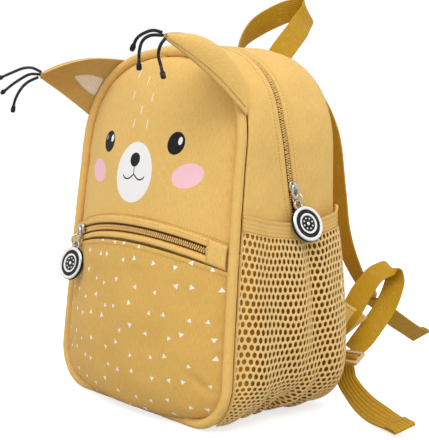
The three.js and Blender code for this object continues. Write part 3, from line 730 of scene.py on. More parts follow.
def opaque(colour, *shares):
    """An opaque colour, darkened by one share or by one for each of its channels."""
    shares = shares * 3 if len(shares) == 1 else shares or (1, 1, 1)
    return tuple(c * share for c, share in zip(colour[:3], shares)) + (1.0,)


def new_material(name, roughness=0.9, metallic=0.0, sheen=0.0):
    material = bpy.data.materials.new(name)
    material.use_nodes = True
    tree = material.node_tree
    shader = tree.nodes["Principled BSDF"]
    shader.inputs["Roughness"].default_value = roughness
    shader.inputs["Metallic"].default_value = metallic
    shader.inputs["Specular IOR Level"].default_value = 0.5 if metallic else 0.25
    if sheen:
        shader.inputs["Sheen Weight"].default_value = sheen
        shader.inputs["Sheen Roughness"].default_value = 0.5
    here = put(tree, "ShaderNodeTexCoord").outputs["Object"]
    flat = put(tree, "ShaderNodeUVMap", uv_map="Cloth").outputs[0]
    return material, tree, shader, here, flat


def bumped(tree, shader, height, strength, distance):
    inputs = {"Height": height, "Strength": strength, "Distance": distance * MM}
    bump = put(tree, "ShaderNodeBump", inputs)
    wire(tree, bump.outputs[0], shader.inputs["Normal"])


def grouped(tree, name, inputs):
    return put(tree, "ShaderNodeGroup", inputs, node_tree=group(name))


def canvas(name, colour, flecks=0.2, print_ink=None, thread=0.9, size=1.1):
    material, tree, shader, here, flat = new_material(name, roughness=0.92, sheen=0.08)
    yarns = {"Flecks": flecks, "Thread pitch": thread, "Fleck size": size}
    cloth = grouped(tree, "weave", {"Place": here, "Cloth map": flat, "Colour": colour, **yarns})
    colour_out = cloth.outputs["Colour"]
    if print_ink:
        place = vmath(tree, "SCALE", here, 1000.0)
        for ink, mask in print_ink(tree, place):
            cover = calc(tree, "MULTIPLY_ADD", cloth.outputs["Height"], 0.12, 0.95)
            cover = calc(tree, "MINIMUM", calc(tree, "MULTIPLY", mask, cover), 1.0)
            colour_out = blended(tree, cover, colour_out, ink)
    wire(tree, colour_out, shader.inputs["Base Color"])
    bumped(tree, shader, cloth.outputs["Height"], 0.35, 0.35)
    return material


WHITE_INK = shade((243, 242, 240))
BLACK_INK = shade((16, 17, 28))
PINK_INK = shade((247, 197, 207))
GREY_INK = shade((150, 150, 156))

# Printed ovals: across, height, width, length, turn in degrees and taper
EYES = ((44.4, 232.7, 17.5, 19, 8, 0), (-44.4, 232.7, 17.5, 19, -8, 0))
EYE_LIGHTS = ((48.4, 234.6, 4.2, 6.6, 6, 0), (-40.2, 235.6, 4.4, 6.6, 6, 0))
EYE_GREYS = ((-49.6, 236.2, 2.6, 4.6, 20, 0),)
MUZZLE = ((0, 207.4, 47, 51.5, 0, 0.06),)
NOSE = ((0, 218, 12.6, 12, 0, -0.06),)
CHEEKS = ((59.5, 206.4, 28.5, 20, -14, 0), (-59.5, 206.4, 28.5, 20, 14, 0))
MOUTH = (
    (-13.2, 204.2),
    (-11.6, 202.4),
    (-8.6, 201.4),
    (-5.2, 201.8),
    (-1.9, 203.6),
    (0.7, 205.7),
    (3.4, 203.6),
    (6.8, 201.6),
    (10.2, 201.1),
    (13.2, 202.2),
    (14.6, 203.8),
)
DASHES = (
    (-1.9, 285.5, 2),
    (-18.5, 273.1, 14),
    (8.7, 271.4, 3),
    (-2.5, 260.2, 2),
    (-10.2, 248.7, 12),
    (7.7, 248.2, 2),
    (-18.1, 291.8, 14),
)

DASH_REACH = 3.3
TRIANGLE_PITCH = 18.2
TRIANGLE_REACH = 1.05
TRIANGLE_SPREAD = 0.35


def strongest(tree, masks):
    total = masks[0]
    for mask in masks[1:]:
        total = calc(tree, "MAXIMUM", total, mask)
    return total


def face_print(tree, place):
    """The printed face: pale muzzle and forehead dashes, pink cheeks, dark eyes, nose and mouth."""

    def ovals(rows):
        keys = ("Across", "Height", "Width", "Length", "Turn", "Taper")
        made = []
        for row in rows:
            values = dict(zip(keys, (float(v) for v in row)))
            values["Turn"] = math.radians(values["Turn"])
            made.append(grouped(tree, "oval", {"Place": place, **values}).outputs[0])
        return made

    def stroke(a, b, width):
        ends = {"From": (a[0], 0.0, a[1]), "To": (b[0], 0.0, b[1])}
        return grouped(tree, "stroke", {"Place": place, "Width": width, **ends}).outputs[0]

    dashes = []
    for x, z, lean in DASHES:
        dx, dz = DASH_REACH * math.sin(math.radians(lean)), DASH_REACH * math.cos(math.radians(lean))
        dashes.append(stroke((x - dx, z - dz), (x + dx, z + dz), 0.9))
    mouth = [stroke(a, b, 1.25) for a, b in zip(MOUTH, MOUTH[1:])]
    mouth.append(stroke((0.2, 213), (0.7, 205.4), 0.9))
    return [
        (WHITE_INK, strongest(tree, ovals(MUZZLE) + dashes)),
        (PINK_INK, strongest(tree, ovals(CHEEKS))),
        (BLACK_INK, strongest(tree, ovals(EYES) + ovals(NOSE) + mouth)),
        (WHITE_INK, strongest(tree, ovals(EYE_LIGHTS))),
        (GREY_INK, strongest(tree, ovals(EYE_GREYS))),
    ]


def triangle_print(tree, place):
    """Small white triangles, one in each cell of a loose scatter, each turned its own way."""
    x, _, z = xyz(tree, place)
    flat = put(tree, "ShaderNodeCombineXYZ", {0: x, 1: z}).outputs[0]
    scatter = {"Vector": flat, "Scale": 1 / TRIANGLE_PITCH, "Randomness": 0.6}
    cells = put(tree, "ShaderNodeTexVoronoi", scatter, voronoi_dimensions="2D")
    tone = put(tree, "ShaderNodeSeparateColor", {0: cells.outputs["Color"]}).outputs
    off = vmath(tree, "SUBTRACT", flat, cells.outputs["Position"])
    off = turned(tree, off, calc(tree, "MULTIPLY", tone[0], 2 * math.pi))
    sides = []
    for degrees in (90, 210, 330):
        out = (math.cos(math.radians(degrees)), math.sin(math.radians(degrees)), 0.0)
        sides.append(vmath(tree, "DOT_PRODUCT", off, out))
    reach = calc(tree, "MULTIPLY_ADD", tone[1], TRIANGLE_SPREAD, TRIANGLE_REACH)
    past = calc(tree, "SUBTRACT", reach, strongest(tree, sides))
    return [(WHITE_INK, ramp(tree, past, -0.12, 0.12))]


def band_material(name, colour, rib, weft=0.9, depth=0.6, roughness=0.75, strength=0.5):
    material, tree, shader, here, flat = new_material(name, roughness=roughness, sheen=0.06)
    pattern = {"Rib pitch": rib, "Weft pitch": weft, "Rib depth": depth}
    ribs = grouped(tree, "ribs", {"Cloth map": flat, "Colour": colour, **pattern})
    rubbed = grouped(tree, "wear", {"Place": here, "Colour": ribs.outputs["Colour"], "Amount": 0.08})
    wire(tree, rubbed.outputs["Colour"], shader.inputs["Base Color"])
    bumped(tree, shader, ribs.outputs["Height"], strength, 0.35)
    return material


def hard_material(name, colour, roughness, metallic=0.0, wear=0.12, grain=900.0):
    material, tree, shader, here, flat = new_material(name, roughness=roughness, metallic=metallic)
    rubbed = grouped(tree, "wear", {"Place": here, "Colour": colour, "Amount": wear})
    wire(tree, rubbed.outputs["Colour"], shader.inputs["Base Color"])
    rough = calc(tree, "ADD", rubbed.outputs["Mask"], roughness)
    wire(tree, rough, shader.inputs["Roughness"])
    speck = put(tree, "ShaderNodeTexNoise", {"Vector": here, "Scale": grain, "Detail": 2.0})
    bumped(tree, shader, speck.outputs[0], 0.12, 0.1)
    return material


def dotted_material(name, colour, dot, pitch, share):
    """Felt with a fine even print of dots."""
    material, tree, shader, here, flat = new_material(name, roughness=0.95, sheen=0.15)
    cloth = grouped(tree, "weave", {"Place": here, "Cloth map": flat, "Colour": colour, "Flecks": 0.16})
    scatter = {"Vector": flat, "Scale": 1000.0 / pitch, "Randomness": 0.15}
    cells = put(tree, "ShaderNodeTexVoronoi", scatter, voronoi_dimensions="2D")
    mask = ramp(tree, cells.outputs["Distance"], share, share * 0.6)
    wire(tree, blended(tree, mask, cloth.outputs["Colour"], dot), shader.inputs["Base Color"])
    bumped(tree, shader, cloth.outputs["Height"], 0.4, 0.4)
    return material


MATERIALS = {}


def materials():
    """Every finish of the bag, made once from the colours in the sidebar."""
    if MATERIALS:
        return MATERIALS
    looks = bpy.context.scene.backpack_cloth
    body = opaque(looks.canvas_colour)
    band = opaque(looks.webbing_colour)
    net = opaque(looks.net_colour)
    # The pocket canvas is the body canvas darkened as painted shade, for the pocket sitting low and
    # facing a little downward.
    pocket_shaded_body = opaque(body, 0.88, 0.84, 0.7)
    flecks = looks.flecks
    MATERIALS.update(
        canvas=canvas("Mustard canvas", body, flecks),
        face=canvas("Canvas with the printed face", body, flecks, face_print),
        pocket=canvas("Canvas with printed triangles and painted shade", pocket_shaded_body, flecks, triangle_print),
        # The ears' inner faces take a darker canvas: partly the lining's own tone, partly painted shade.
        lining=canvas("Ear lining canvas", opaque(body, 0.78), flecks),
        net=canvas("Knitted net yarn", net, 0.28, size=0.8, thread=0.7),
        hem=band_material("Ribbed net hem", opaque(body, 0.97), 3.4, 1.1, 0.8, 0.9),
        # A dark sheet just inside each net: painted shade seen through its holes.
        backing=canvas("Shaded net backing", shade((150, 98, 8)), flecks),
        webbing=band_material("Webbing", band, 1.9),
        ribbed=band_material("Ribbed webbing", band, 3.2, 0.9, 1.0, strength=0.8),
        cord=band_material("Waxed black cord", shade((20, 22, 32)), 2.2, 1.3, 0.5, 0.55),
        inner=dotted_material("Cream felt", shade((248, 230, 206)), shade((214, 208, 200)), 2.1, 0.3),
        plastic=hard_material("Beige plastic", shade((217, 185, 140)), 0.45, wear=0.06),
        metal=hard_material("Nickel plate", shade((214, 212, 208)), 0.24, 1.0, wear=0.2),
        coil=hard_material("Zip coil", shade((234, 194, 118)), 0.45, wear=0.1),
        tape=band_material("Zip tape", shade((104, 66, 16)), 1.2, 0.9, 0.3, 0.9),
        # A nearly black sheet of painted shade inside the open end of the main zip.
        dark=hard_material("Open zip shadow cloth", shade((52, 32, 10)), 0.95, wear=0.02),
        enamel=hard_material("Black enamel", shade((24, 25, 32)), 0.3, wear=0.05),
        white=hard_material("White enamel", shade((240, 239, 234)), 0.35, wear=0.04),
        thread=hard_material("Sewing thread", opaque(body, 0.7), 0.8, wear=0.02),
        # Dark beads along the ears' seams: painted shade in the creases.
        crease=hard_material("Painted seam crease shade", opaque(body, 0.3), 0.95, wear=0.0),
        band_thread=hard_material("Band thread", opaque(band, 0.6), 0.8, wear=0.02),
    )
    return MATERIALS


# Geometry Nodes for what repeats


def shape_group(name, inputs):
    shape = [("Geometry", "Geometry", None)]
    return new_group(name, "GeometryNodeTree", shape + inputs + [("Material", "Material", None)], shape)


def end_group(tree, geometry, give, take):
    real = put(tree, "GeometryNodeRealizeInstances", {0: geometry}).outputs[0]
    painted = put(tree, "GeometryNodeSetMaterial", {"Geometry": real, "Material": give["Material"]})
    wire(tree, painted.outputs[0], take["Geometry"])


def stitch_tree():
    """Stitches lie end to end along each line, a set pitch apart."""
    tree, give, take = shape_group(
        "Stitch rows",
        [("Pitch", "Float", 0.003), ("Stitch", "Float", 0.002), ("Thread", "Float", 0.0005)],
    )
    spacing = {"Curve": give["Geometry"], "Length": give["Pitch"]}
    rows = put(tree, "GeometryNodeResampleCurve", spacing, mode="LENGTH")
    bead = put(tree, "GeometryNodeMeshUVSphere", {"Segments": 6, "Rings": 4, "Radius": 0.5})
    size = put(tree, "ShaderNodeCombineXYZ", {0: give["Thread"], 1: give["Thread"], 2: give["Stitch"]})
    slim = put(tree, "GeometryNodeTransform", {"Geometry": bead.outputs[0], "Scale": size.outputs[0]})
    along = put(tree, "GeometryNodeInputTangent")
    lay = put(tree, "FunctionNodeAlignRotationToVector", {"Vector": along.outputs[0]}, axis="Z")
    laid = put(
        tree,
        "GeometryNodeInstanceOnPoints",
        {"Points": rows.outputs[0], "Instance": slim.outputs[0], "Rotation": lay.outputs[0]},
    )
    end_group(tree, laid.outputs[0], give, take)
    return tree


def tooth_tree():
    """A rounded tooth on each point, across the zip and off its tape."""
    tree, give, take = shape_group(
        "Zip teeth",
        [("Reach", "Float", 0.003), ("Width", "Float", 0.0011), ("Rise", "Float", 0.0012)],
    )
    bead = put(tree, "GeometryNodeMeshUVSphere", {"Segments": 8, "Rings": 5, "Radius": 0.5})
    size = put(tree, "ShaderNodeCombineXYZ", {0: give["Reach"], 1: give["Width"], 2: give["Rise"]})
    shaped = put(tree, "GeometryNodeTransform", {"Geometry": bead.outputs[0], "Scale": size.outputs[0]})
    facing = put(tree, "GeometryNodeInputNamedAttribute", {"Name": "facing"}, data_type="FLOAT_VECTOR")
    across = put(tree, "GeometryNodeInputNamedAttribute", {"Name": "across"}, data_type="FLOAT_VECTOR")
    turn = put(
        tree,
        "FunctionNodeAxesToRotation",
        {0: facing.outputs[0], 1: across.outputs[0]},
        primary_axis="Z",
        secondary_axis="X",
    )
    laid = put(
        tree,
        "GeometryNodeInstanceOnPoints",
        {"Points": give["Geometry"], "Instance": shaped.outputs[0], "Rotation": turn.outputs[0]},
    )
    end_group(tree, laid.outputs[0], give, take)
    return tree


def net_tree():
    """Opens a hole in every cell of a laid-out honeycomb."""
    tree, give, take = shape_group("Knitted net", [("Hole share", "Float", 0.6)])
    lifted = put(
        tree,
        "GeometryNodeExtrudeMesh",
        {"Mesh": give["Geometry"], "Offset Scale": 0.0, "Individual": True},
        mode="FACES",
    )
    shrunk = put(
        tree,
        "GeometryNodeScaleElements",
        {"Geometry": lifted.outputs[0], "Selection": lifted.outputs[1], "Scale": give["Hole share"]},
    )
    opened = put(
        tree,
        "GeometryNodeDeleteGeometry",
        {"Geometry": shrunk.outputs[0], "Selection": lifted.outputs[1]},
        domain="FACE",
        mode="ONLY_FACE",
    )
    end_group(tree, opened.outputs[0], give, take)
    return tree


TREES = {}


def grown(name, data, tree_name, values):
    """Runs a Geometry Nodes tree on some data and gives its result as a plain mesh."""
    makers = {"stitches": stitch_tree, "teeth": tooth_tree, "net": net_tree}
    if tree_name not in TREES:
        TREES[tree_name] = makers[tree_name]()
    tree = TREES[tree_name]
    obj = bpy.data.objects.new(name, data)
    bpy.context.scene.collection.objects.link(obj)
    nodes = obj.modifiers.new(tree_name, "NODES")
    nodes.node_group = tree
    sockets = {s.name: s.identifier for s in tree.interface.items_tree if s.in_out == "INPUT"}
    for key, value in values.items():
        nodes[sockets[key]] = value
    seen = obj.evaluated_get(bpy.context.evaluated_depsgraph_get())
    mesh = bpy.data.meshes.new_from_object(seen)
    bpy.data.objects.remove(obj)
    mesh.name = name
    mesh.shade_smooth()
    return mesh


def stitch_piece(name, lines, pitch=None, material="thread", thread=0.62):
    """Rows of stitches along lines of points, each line a list in millimetres."""
    looks = bpy.context.scene.backpack_cloth
    pitch = pitch or looks.stitch_pitch / MM
    curve = bpy.data.curves.new(name, "CURVE")
    curve.dimensions = "3D"
    for line in lines:
        row = curve.splines.new("POLY")
        row.points.add(len(line) - 1)
        for point, p in zip(row.points, line):
            point.co = (p.x * MM, p.y * MM, p.z * MM, 1)
    finish = materials()[material]
    values = {"Pitch": pitch * MM, "Stitch": pitch * 0.7 * MM, "Thread": thread * MM, "Material": finish}
    return add_piece(name, grown(name, curve, "stitches", values), finish)


def teeth_piece(name, points, nodes=(), reach=3.0, width=1.05, rise=1.3):
    """Zip teeth from (place, facing, across) rows."""
    mesh = bpy.data.meshes.new(name)
    mesh.from_pydata([p * MM for p, _, _ in points], [], [])
    for label, k in (("facing", 1), ("across", 2)):
        layer = mesh.attributes.new(label, "FLOAT_VECTOR", "POINT")
        for i, row in enumerate(points):
            layer.data[i].vector = row[k]
    finish = materials()["coil"]
    values = {"Reach": reach * MM, "Width": width * MM, "Rise": rise * MM, "Material": finish}
    return add_piece(name, grown(name, mesh, "teeth", values), finish, nodes)


# Settings a user would change


class BackpackCloth(bpy.types.PropertyGroup):
    canvas_colour: FloatVectorProperty(
        name="Canvas",
        description="Colour of the bag's canvas",
        default=shade((229, 187, 107))[:3],
        subtype="COLOR",
        min=0,
        max=1,
    )
    net_colour: FloatVectorProperty(
        name="Net",
        description="Colour of the side pockets' knitted net and hems",
        default=shade((230, 195, 128))[:3],
        subtype="COLOR",
        min=0,
        max=1,
    )
    webbing_colour: FloatVectorProperty(
        name="Webbing",
        description="Colour of the handle, straps and loops",
        default=shade((190, 143, 14))[:3],
        subtype="COLOR",
        min=0,
        max=1,
    )
    flecks: FloatProperty(
        name="Flecks",
        description="How strongly the yarns differ in tone",
        default=0.3,
        min=0,
        max=1,
    )
    folds: FloatProperty(
        name="Folds",
        description="Depth of the soft folds against the modelled ones",
        default=1.0,
        min=0,
    )
    stitch_pitch: FloatProperty(
        name="Stitch pitch",
        description="Distance from one stitch to the next",
        default=0.0031,
        min=0.001,
        unit="LENGTH",
    )
    tooth_pitch: FloatProperty(
        name="Tooth pitch",
        description="Distance from one zip tooth to the next on its side",
        default=0.0021,
        min=0.001,
        unit="LENGTH",
    )


class BackpackNet(bpy.types.PropertyGroup):
    columns: IntProperty(name="Columns", description="Holes across a side pocket", default=27, min=4)
    rows: IntProperty(name="Rows", description="Rows of holes up a side pocket", default=34, min=4)
    hole_share: FloatProperty(
        name="Hole share",
        description="Width of a hole against its cell",
        default=0.69,
        min=0.1,
        max=0.9,
    )


class BackpackStage(bpy.types.PropertyGroup):
    lens: FloatProperty(
        name="Lens",
        description="Focal length of the camera, in millimetres",
        default=73.64,
        min=10,
    )
    azimuth: FloatProperty(
        name="Azimuth",
        description="How far the camera stands round from the front",
        default=math.radians(46.5),
        subtype="ANGLE",
    )
    pitch: FloatProperty(
        name="Pitch",
        description="How far the camera looks down",
        default=math.radians(6.51),
        subtype="ANGLE",
    )
    lamp: FloatProperty(
        name="Lamp",
        description="Strength of the large lamps, in watts",
        default=13.0,
        min=0,
    )
    sky: FloatProperty(
        name="Sky",
        description="Strength of the even studio light",
        default=0.8,
        min=0,
        max=1,
    )
    floor_glow: FloatProperty(
        name="Floor glow",
        description="How far the floor is lifted to the white of the background",
        default=0.72,
        min=0,
    )


# Front: panel, pocket and its mouth


def panel_y(x, z):
    """The front panel's cloth, with the seam beside the piping and a few soft folds."""
    folds = bpy.context.scene.backpack_cloth.folds
    inside = max(edge_distance(x, z) - PIPING, 0)
    here = vec(x, 0, z)
    y = face_at(x, z) + 1.5 * math.exp(-inside / 2.6)
    y += folds * ripple(here, 52, 2.2) * smooth(inside, 2, 30)
    return y + folds * ripple(here + vec(7, 0, 3), 13, 0.9) * math.exp(-inside / 9)


PINCH_REACH = 34
PINCH_HEIGHT = 22


def pocket_y(x, z):
    """The pocket's cloth, with its folded upper edge and the pinched lower corners."""
    folds = bpy.context.scene.backpack_cloth.folds
    inside = max(edge_distance(x, z) - PIPING, 0)
    below = mouth_bottom(x) - z
    y = face_at(x, z) - proud_at(x, z) - CLOTH - 2 * GAP
    y += 2.2 * math.exp(-inside / 2.8) * smooth(below, 0, 12)
    y -= 0.9 * bell(below, 1.6, 1.9)
    here = vec(x, 5, z)
    soft = ripple(here, 44, 2.6) + ripple(here, 17, 0.7)
    y += folds * soft * smooth(inside, 3, 28) * smooth(below, 4, 30)
    y += folds * ripple(here, 10, 1.3) * math.exp(-inside / 10) * smooth(below, 8, 40)
    corner = abs(x) - FRONT["half_base"] + PINCH_REACH
    slant = (z - PINCH_HEIGHT) - 0.8 * (PINCH_REACH - corner)
    return y + folds * 2.6 * bell(slant, 0, 3.2) * bell(corner, 12, 12) * smooth(inside, 0, 6)


def mouth_band(low, high, half, crown):
    """A folded band along the pocket's mouth, between two of its heights."""
    rows = []
    for up in steps(6):
        row = []
        for x in steps(56, -half, half):
            z = lerp(low(x), high(x), up)
            rise = crown * math.sqrt(max(4 * up * (1 - up), 0))
            lift = lerp(0.2, BAND_THICK, smooth(min(up, 1 - up), 0, 0.14)) + rise
            row.append(vec(x, face_at(x, z) - lift - 2 * GAP + ripple(vec(x, up * 9, z), 11, 0.5), z))
        rows.append(row)
    return rows


def eased(count, low, high):
    return [lerp(low, high, (k + 0.5 - math.cos(math.pi * k) / 2) / 2) for k in steps(count)]


class BACKPACK_OT_front(bpy.types.Operator):
    """Add the printed front panel and the front pocket with its mouth"""

    bl_idname = "backpack.front"
    bl_label = "Front and Pocket"

    def execute(self, context):
        finish = materials()
        rows = []
        for z in eased(76, PANEL_TUCK, BAG_HEIGHT - PANEL_TUCK - 0.2):
            half = half_width_at(FRONT, z, PANEL_TUCK)
            row = []
            for x in steps(60, -half, half):
                sunk = smooth(mouth_bottom(x) - z, 0, POCKET_MOUTH) * POCKET_DEPTH
                share = x / half if half else 0
                row.append(vec(x, panel_y(x, z) + sunk * (1 - share * share), z))
            rows.append(row)
        add_sheet("face_cloth", rows, finish["face"], ["front_panel"])

        rows = []
        for up in steps(64):
            row = []
            for share in steps(64, -1, 1):
                top = mouth_bottom(share * half_width_at(FRONT, POCKET_HEIGHT, PANEL_TUCK)) - 2 * GAP
                z = lerp(PANEL_TUCK, top, up)
                x = share * half_width_at(FRONT, z, PANEL_TUCK)
                row.append(vec(x, pocket_y(x, z), z))
            rows.append(row)
        add_sheet("pocket_cloth", rows, finish["pocket"], ["pocket_panel"])

        reach = half_width_at(FRONT, POCKET_HEIGHT, PANEL_INSET) + 1.5
        zip_reach = reach - END_PATCH - 2 * GAP - 1.5
        lane = ZIP_WIDTH / 2

        def low(x):
            return mouth_bottom(x) + GAP

        def upper_edge(x):
            return mouth_middle(x) + lane

        def lower_edge(x):
            return mouth_middle(x) - lane

        for place, bottom, top, crown in (
            ("upper", upper_edge, mouth_top, 1.3),
            ("lower", low, lower_edge, 1.5),
        ):
            rows = mouth_band(bottom, top, zip_reach + 2, crown)
            nodes = ["pocket_band_" + place]
            add_sheet(f"pocket_{place}_fold", rows, finish["canvas"], nodes, wall=1.2)
        for hand, side in SIDES:
            rows = []
            for up in steps(10):
                row = []
                for x in steps(8, zip_reach, reach):
                    z = lerp(low(x), mouth_top(x), up)
                    rise = 1.6 * smooth(min(up, 1 - up), 0, 0.12) * smooth(x - zip_reach, 0, 1.5)
                    row.append(vec(side * x, face_at(x, z) - BAND_THICK - 0.6 - rise, z))
                rows.append(row)
            nodes = ["pocket_end_" + hand]
            add_sheet("pocket_patch_" + hand, rows, finish["canvas"], nodes, wall=1.4)

        def line(height, depth, half, lift):
            return [vec(x, depth(x, height(x)) - lift, height(x)) for x in steps(70, -half, half)]

        def band_y(x, z):
            return face_at(x, z) - BAND_THICK

        edge = half_width_at(FRONT, POCKET_HEIGHT, PIPING)
        lines = [
            line(lambda x: mouth_top(x) + 1.3, panel_y, edge, 0.1),
            line(lambda x: mouth_bottom(x) - 4.2, pocket_y, edge, 0.15),
            line(lambda x: mouth_top(x) - 1.6, band_y, zip_reach, 1.8),
            line(lambda x: mouth_bottom(x) + 1.6, band_y, zip_reach, 2.0),
        ]
        for _, side in SIDES:
            x = side * (zip_reach + 2.4)
            span = steps(8, low(x) + 1, mouth_top(x) - 1)
            lines.append([vec(x, band_y(x, z) - 2.25, z) for z in span])
        stitch_piece("front_stitches", lines)
        return {"FINISHED"}


# Sides: piping, gussets and their seams


def zip_lane(place):
    return (ZIP_WIDTH / 2 - 0.6) / depth_at(place)


def front_share(place):
    return PIPING * 0.43 / depth_at(place)


def gusset_lift(place, share, low, high, flap_at):
    """The gusset's cloth: full between its seams, with a folded flap along the zip."""
    folds = bpy.context.scene.backpack_cloth.folds
    across = (share - low) / (high - low)
    base = side_point(place, share)
    full = math.sin(math.pi * clamp(across))
    lift = 2.0 * full + folds * ripple(base, 38, 2.4) * full
    lift += folds * ripple(base + vec(3, 9, 5), 15, 0.7) * smooth(min(across, 1 - across), 0, 0.2)
    away = abs(share - flap_at) * depth_at(place)
    return lift + 1.5 * smooth(away, 0, 1.2) * (1 - smooth(away, 5, 11)) + 0.4 * bell(away, 1.6, 1.2)


class BACKPACK_OT_sides(bpy.types.Operator):
    """Add the rolled piping, the gussets, the base and the back binding"""

    bl_idname = "backpack.sides"
    bl_label = "Piping and Gussets"

    def execute(self, context):
        finish = materials()
        radius = PIPING / 2
        sections = []
        for place in steps(260, 0, 2 - 2 / 261):
            middle = outline_at(FRONT, place, radius + GAP / 2)
            rim = outline_at(FRONT, place, GAP / 2)
            out = vec(rim[0] - middle[0], 0, rim[1] - middle[1]).normalized()
            y = front_seam(rim[1])
            ring = []
            for k, angle in enumerate(round_angles(14)):
                spread = radius * (1 + ripple(vec(middle[0], k * 0.6, middle[1]), 8, 0.05))
                point = vec(middle[0], y + spread * math.sin(angle), middle[1])
                point += out * spread * math.cos(angle)
                ring.append(vec(point.x, point.y, max(point.z, 0.15)))
            sections.append(ring)
        mesh = body_mesh("edge_piping", sections, ringed=True)
        add_piece("edge_piping", mesh, finish["canvas"], ["front_piping"])

        end = place_of_height(FRONT, ZIP_END_HEIGHT)
        for name, node, start, stop, at_zip in (
            ("front_gusset_cloth", "gusset_front", front_share, lambda s: zip_share(s) - zip_lane(s), 1),
            ("back_gusset_cloth", "gusset_back", lambda s: zip_share(s) + zip_lane(s), lambda s: 1.0, 0),
        ):
            rows = []
            for place in steps(190, end, 2 - end):
                low, high = start(place), stop(place)
                flap = high if at_zip else low
                row = [
                    side_point(place, s, gusset_lift(place, s, low, high, flap))
                    for s in steps(26, low, high)
                ]
                rows.append(row)
            add_sheet(name, rows, finish["canvas"], [node])

        rows = []
        folds = context.scene.backpack_cloth.folds
        for place in steps(170, -end, end):
            row = []
            for share in steps(36, front_share(place), 1):
                base = side_point(place, share)
                inside = min(share, 1 - share)
                sag = smooth(abs(place), BASE_END, CORNER_END)
                lift = folds * ripple(base, 30, 2.2) * smooth(inside, 0, 0.2)
                lift = lift * sag - (1 - sag) * (0.5 + abs(lift) * 0.5)
                row.append(side_point(place, share, lift))
            rows.append(row)
        add_sheet("base_cloth", rows, finish["canvas"], ["base_gusset"])

        sections = []
        for place in steps(220, 0, 2 - 2 / 221):
            middle, rim = outline_at(BACK, place, 2.1), outline_at(BACK, place, 0)
            out = vec(rim[0] - middle[0], 0, rim[1] - middle[1]).normalized()
            y = back_seam(rim[1])
            height = max(middle[1], 2.15)
            sections.append(
                [
                    vec(middle[0], y + 2.0 * math.sin(a), height) + out * 2.0 * math.cos(a)
                    for a in round_angles(10)
                ]
            )
        mesh = body_mesh("back_binding", sections, ringed=True)
        add_piece("back_binding", mesh, finish["canvas"])

        lines = []
        for from_zip in (-10.5, 7.0):
            line = []
            for place in steps(260, end + 0.004, 2 - end - 0.004):
                share = zip_share(place) + from_zip / depth_at(place)
                low = front_share(place) if from_zip < 0 else zip_share(place) + zip_lane(place)
                high = zip_share(place) - zip_lane(place) if from_zip < 0 else 1.0
                flap = high if from_zip < 0 else low
                line.append(side_point(place, share, gusset_lift(place, share, low, high, flap) + 0.12))
            lines.append(line)
        stitch_piece("gusset_stitches", lines)
        return {"FINISHED"}


YOKE_HALF = BAG_WIDTH * 0.265
BACK_SEAM_INSET = 9


class BACKPACK_OT_back(bpy.types.Operator):
    """Add the padded back panel and the strip that holds the straps and the handle"""

    bl_idname = "backpack.back"
    bl_label = "Back Panel"

    def execute(self, context):
        finish = materials()

        def back_y(x, z):
            half = half_width_at(BACK, z, CLOTH + 2 * GAP)
            share = clamp(x / max(half, 1), -1, 1)
            inside = max(min(half - abs(x), z, BACK["top"] - z), 0)
            swell = fullness_at(z) * (1 - share * share)
            y = back_seam(z) + BACK_BULGE * swell
            return y - 1.1 * bell(inside, 9, 2.2) * smooth(inside, 0, 8) + ripple(vec(x, 40, z), 40, 1.2)

        rows = []
        for z in eased(60, 1.2, BACK["top"] - 1.4):
            half = half_width_at(BACK, z, 1.0)
            rows.append([vec(x, back_y(x, z), z) for x in steps(48, -half, half)])
        panel = add_sheet("back_pad", rows, finish["canvas"], ["back_panel"])

        rows = []
        for z in steps(8, BACK["top"] * 0.918, BACK["top"] * 0.962):
            row = []
            for x in steps(40, -YOKE_HALF, YOKE_HALF):
                row.append(vec(x, back_y(x, z) + 1.9, z))
            rows.append(row)
        mesh = sheet_mesh("strap_yoke", rows)
        add_piece("strap_yoke", mesh, finish["canvas"], wall=1.8, bevel=0.4)
        lines = []
        for height in (0.9215, 0.9585):
            z = BACK["top"] * height
            span = steps(60, -BAG_WIDTH * 0.26, BAG_WIDTH * 0.26)
            lines.append([vec(x, back_y(x, z) + 2.05, z) for x in span])
        line = []
        for place in steps(200, 0.02, 1.98):
            x, z = outline_at(BACK, place, BACK_SEAM_INSET)
            line.append(vec(x, back_y(x, z) + 0.25, z))
        lines.append(line)
        stitch_piece("back_stitches", lines)
        return {"FINISHED"}


# Zips


ZIP_STEPS = 900
MAIN_TAPE_HALF = 3.9
POCKET_TAPE_HALF = 4.4
TOOTH_OFFSET = 1.1
PARTING = 2.1


def paced(line, step):
    """The points of a fine line a set step apart, each with its number and the point after it."""
    run = goal = 0.0
    for i, (a, b) in enumerate(zip(line, line[1:])):
        run += (b - a).length
        if run < goal:
            continue
        goal += step
        yield i, a, b


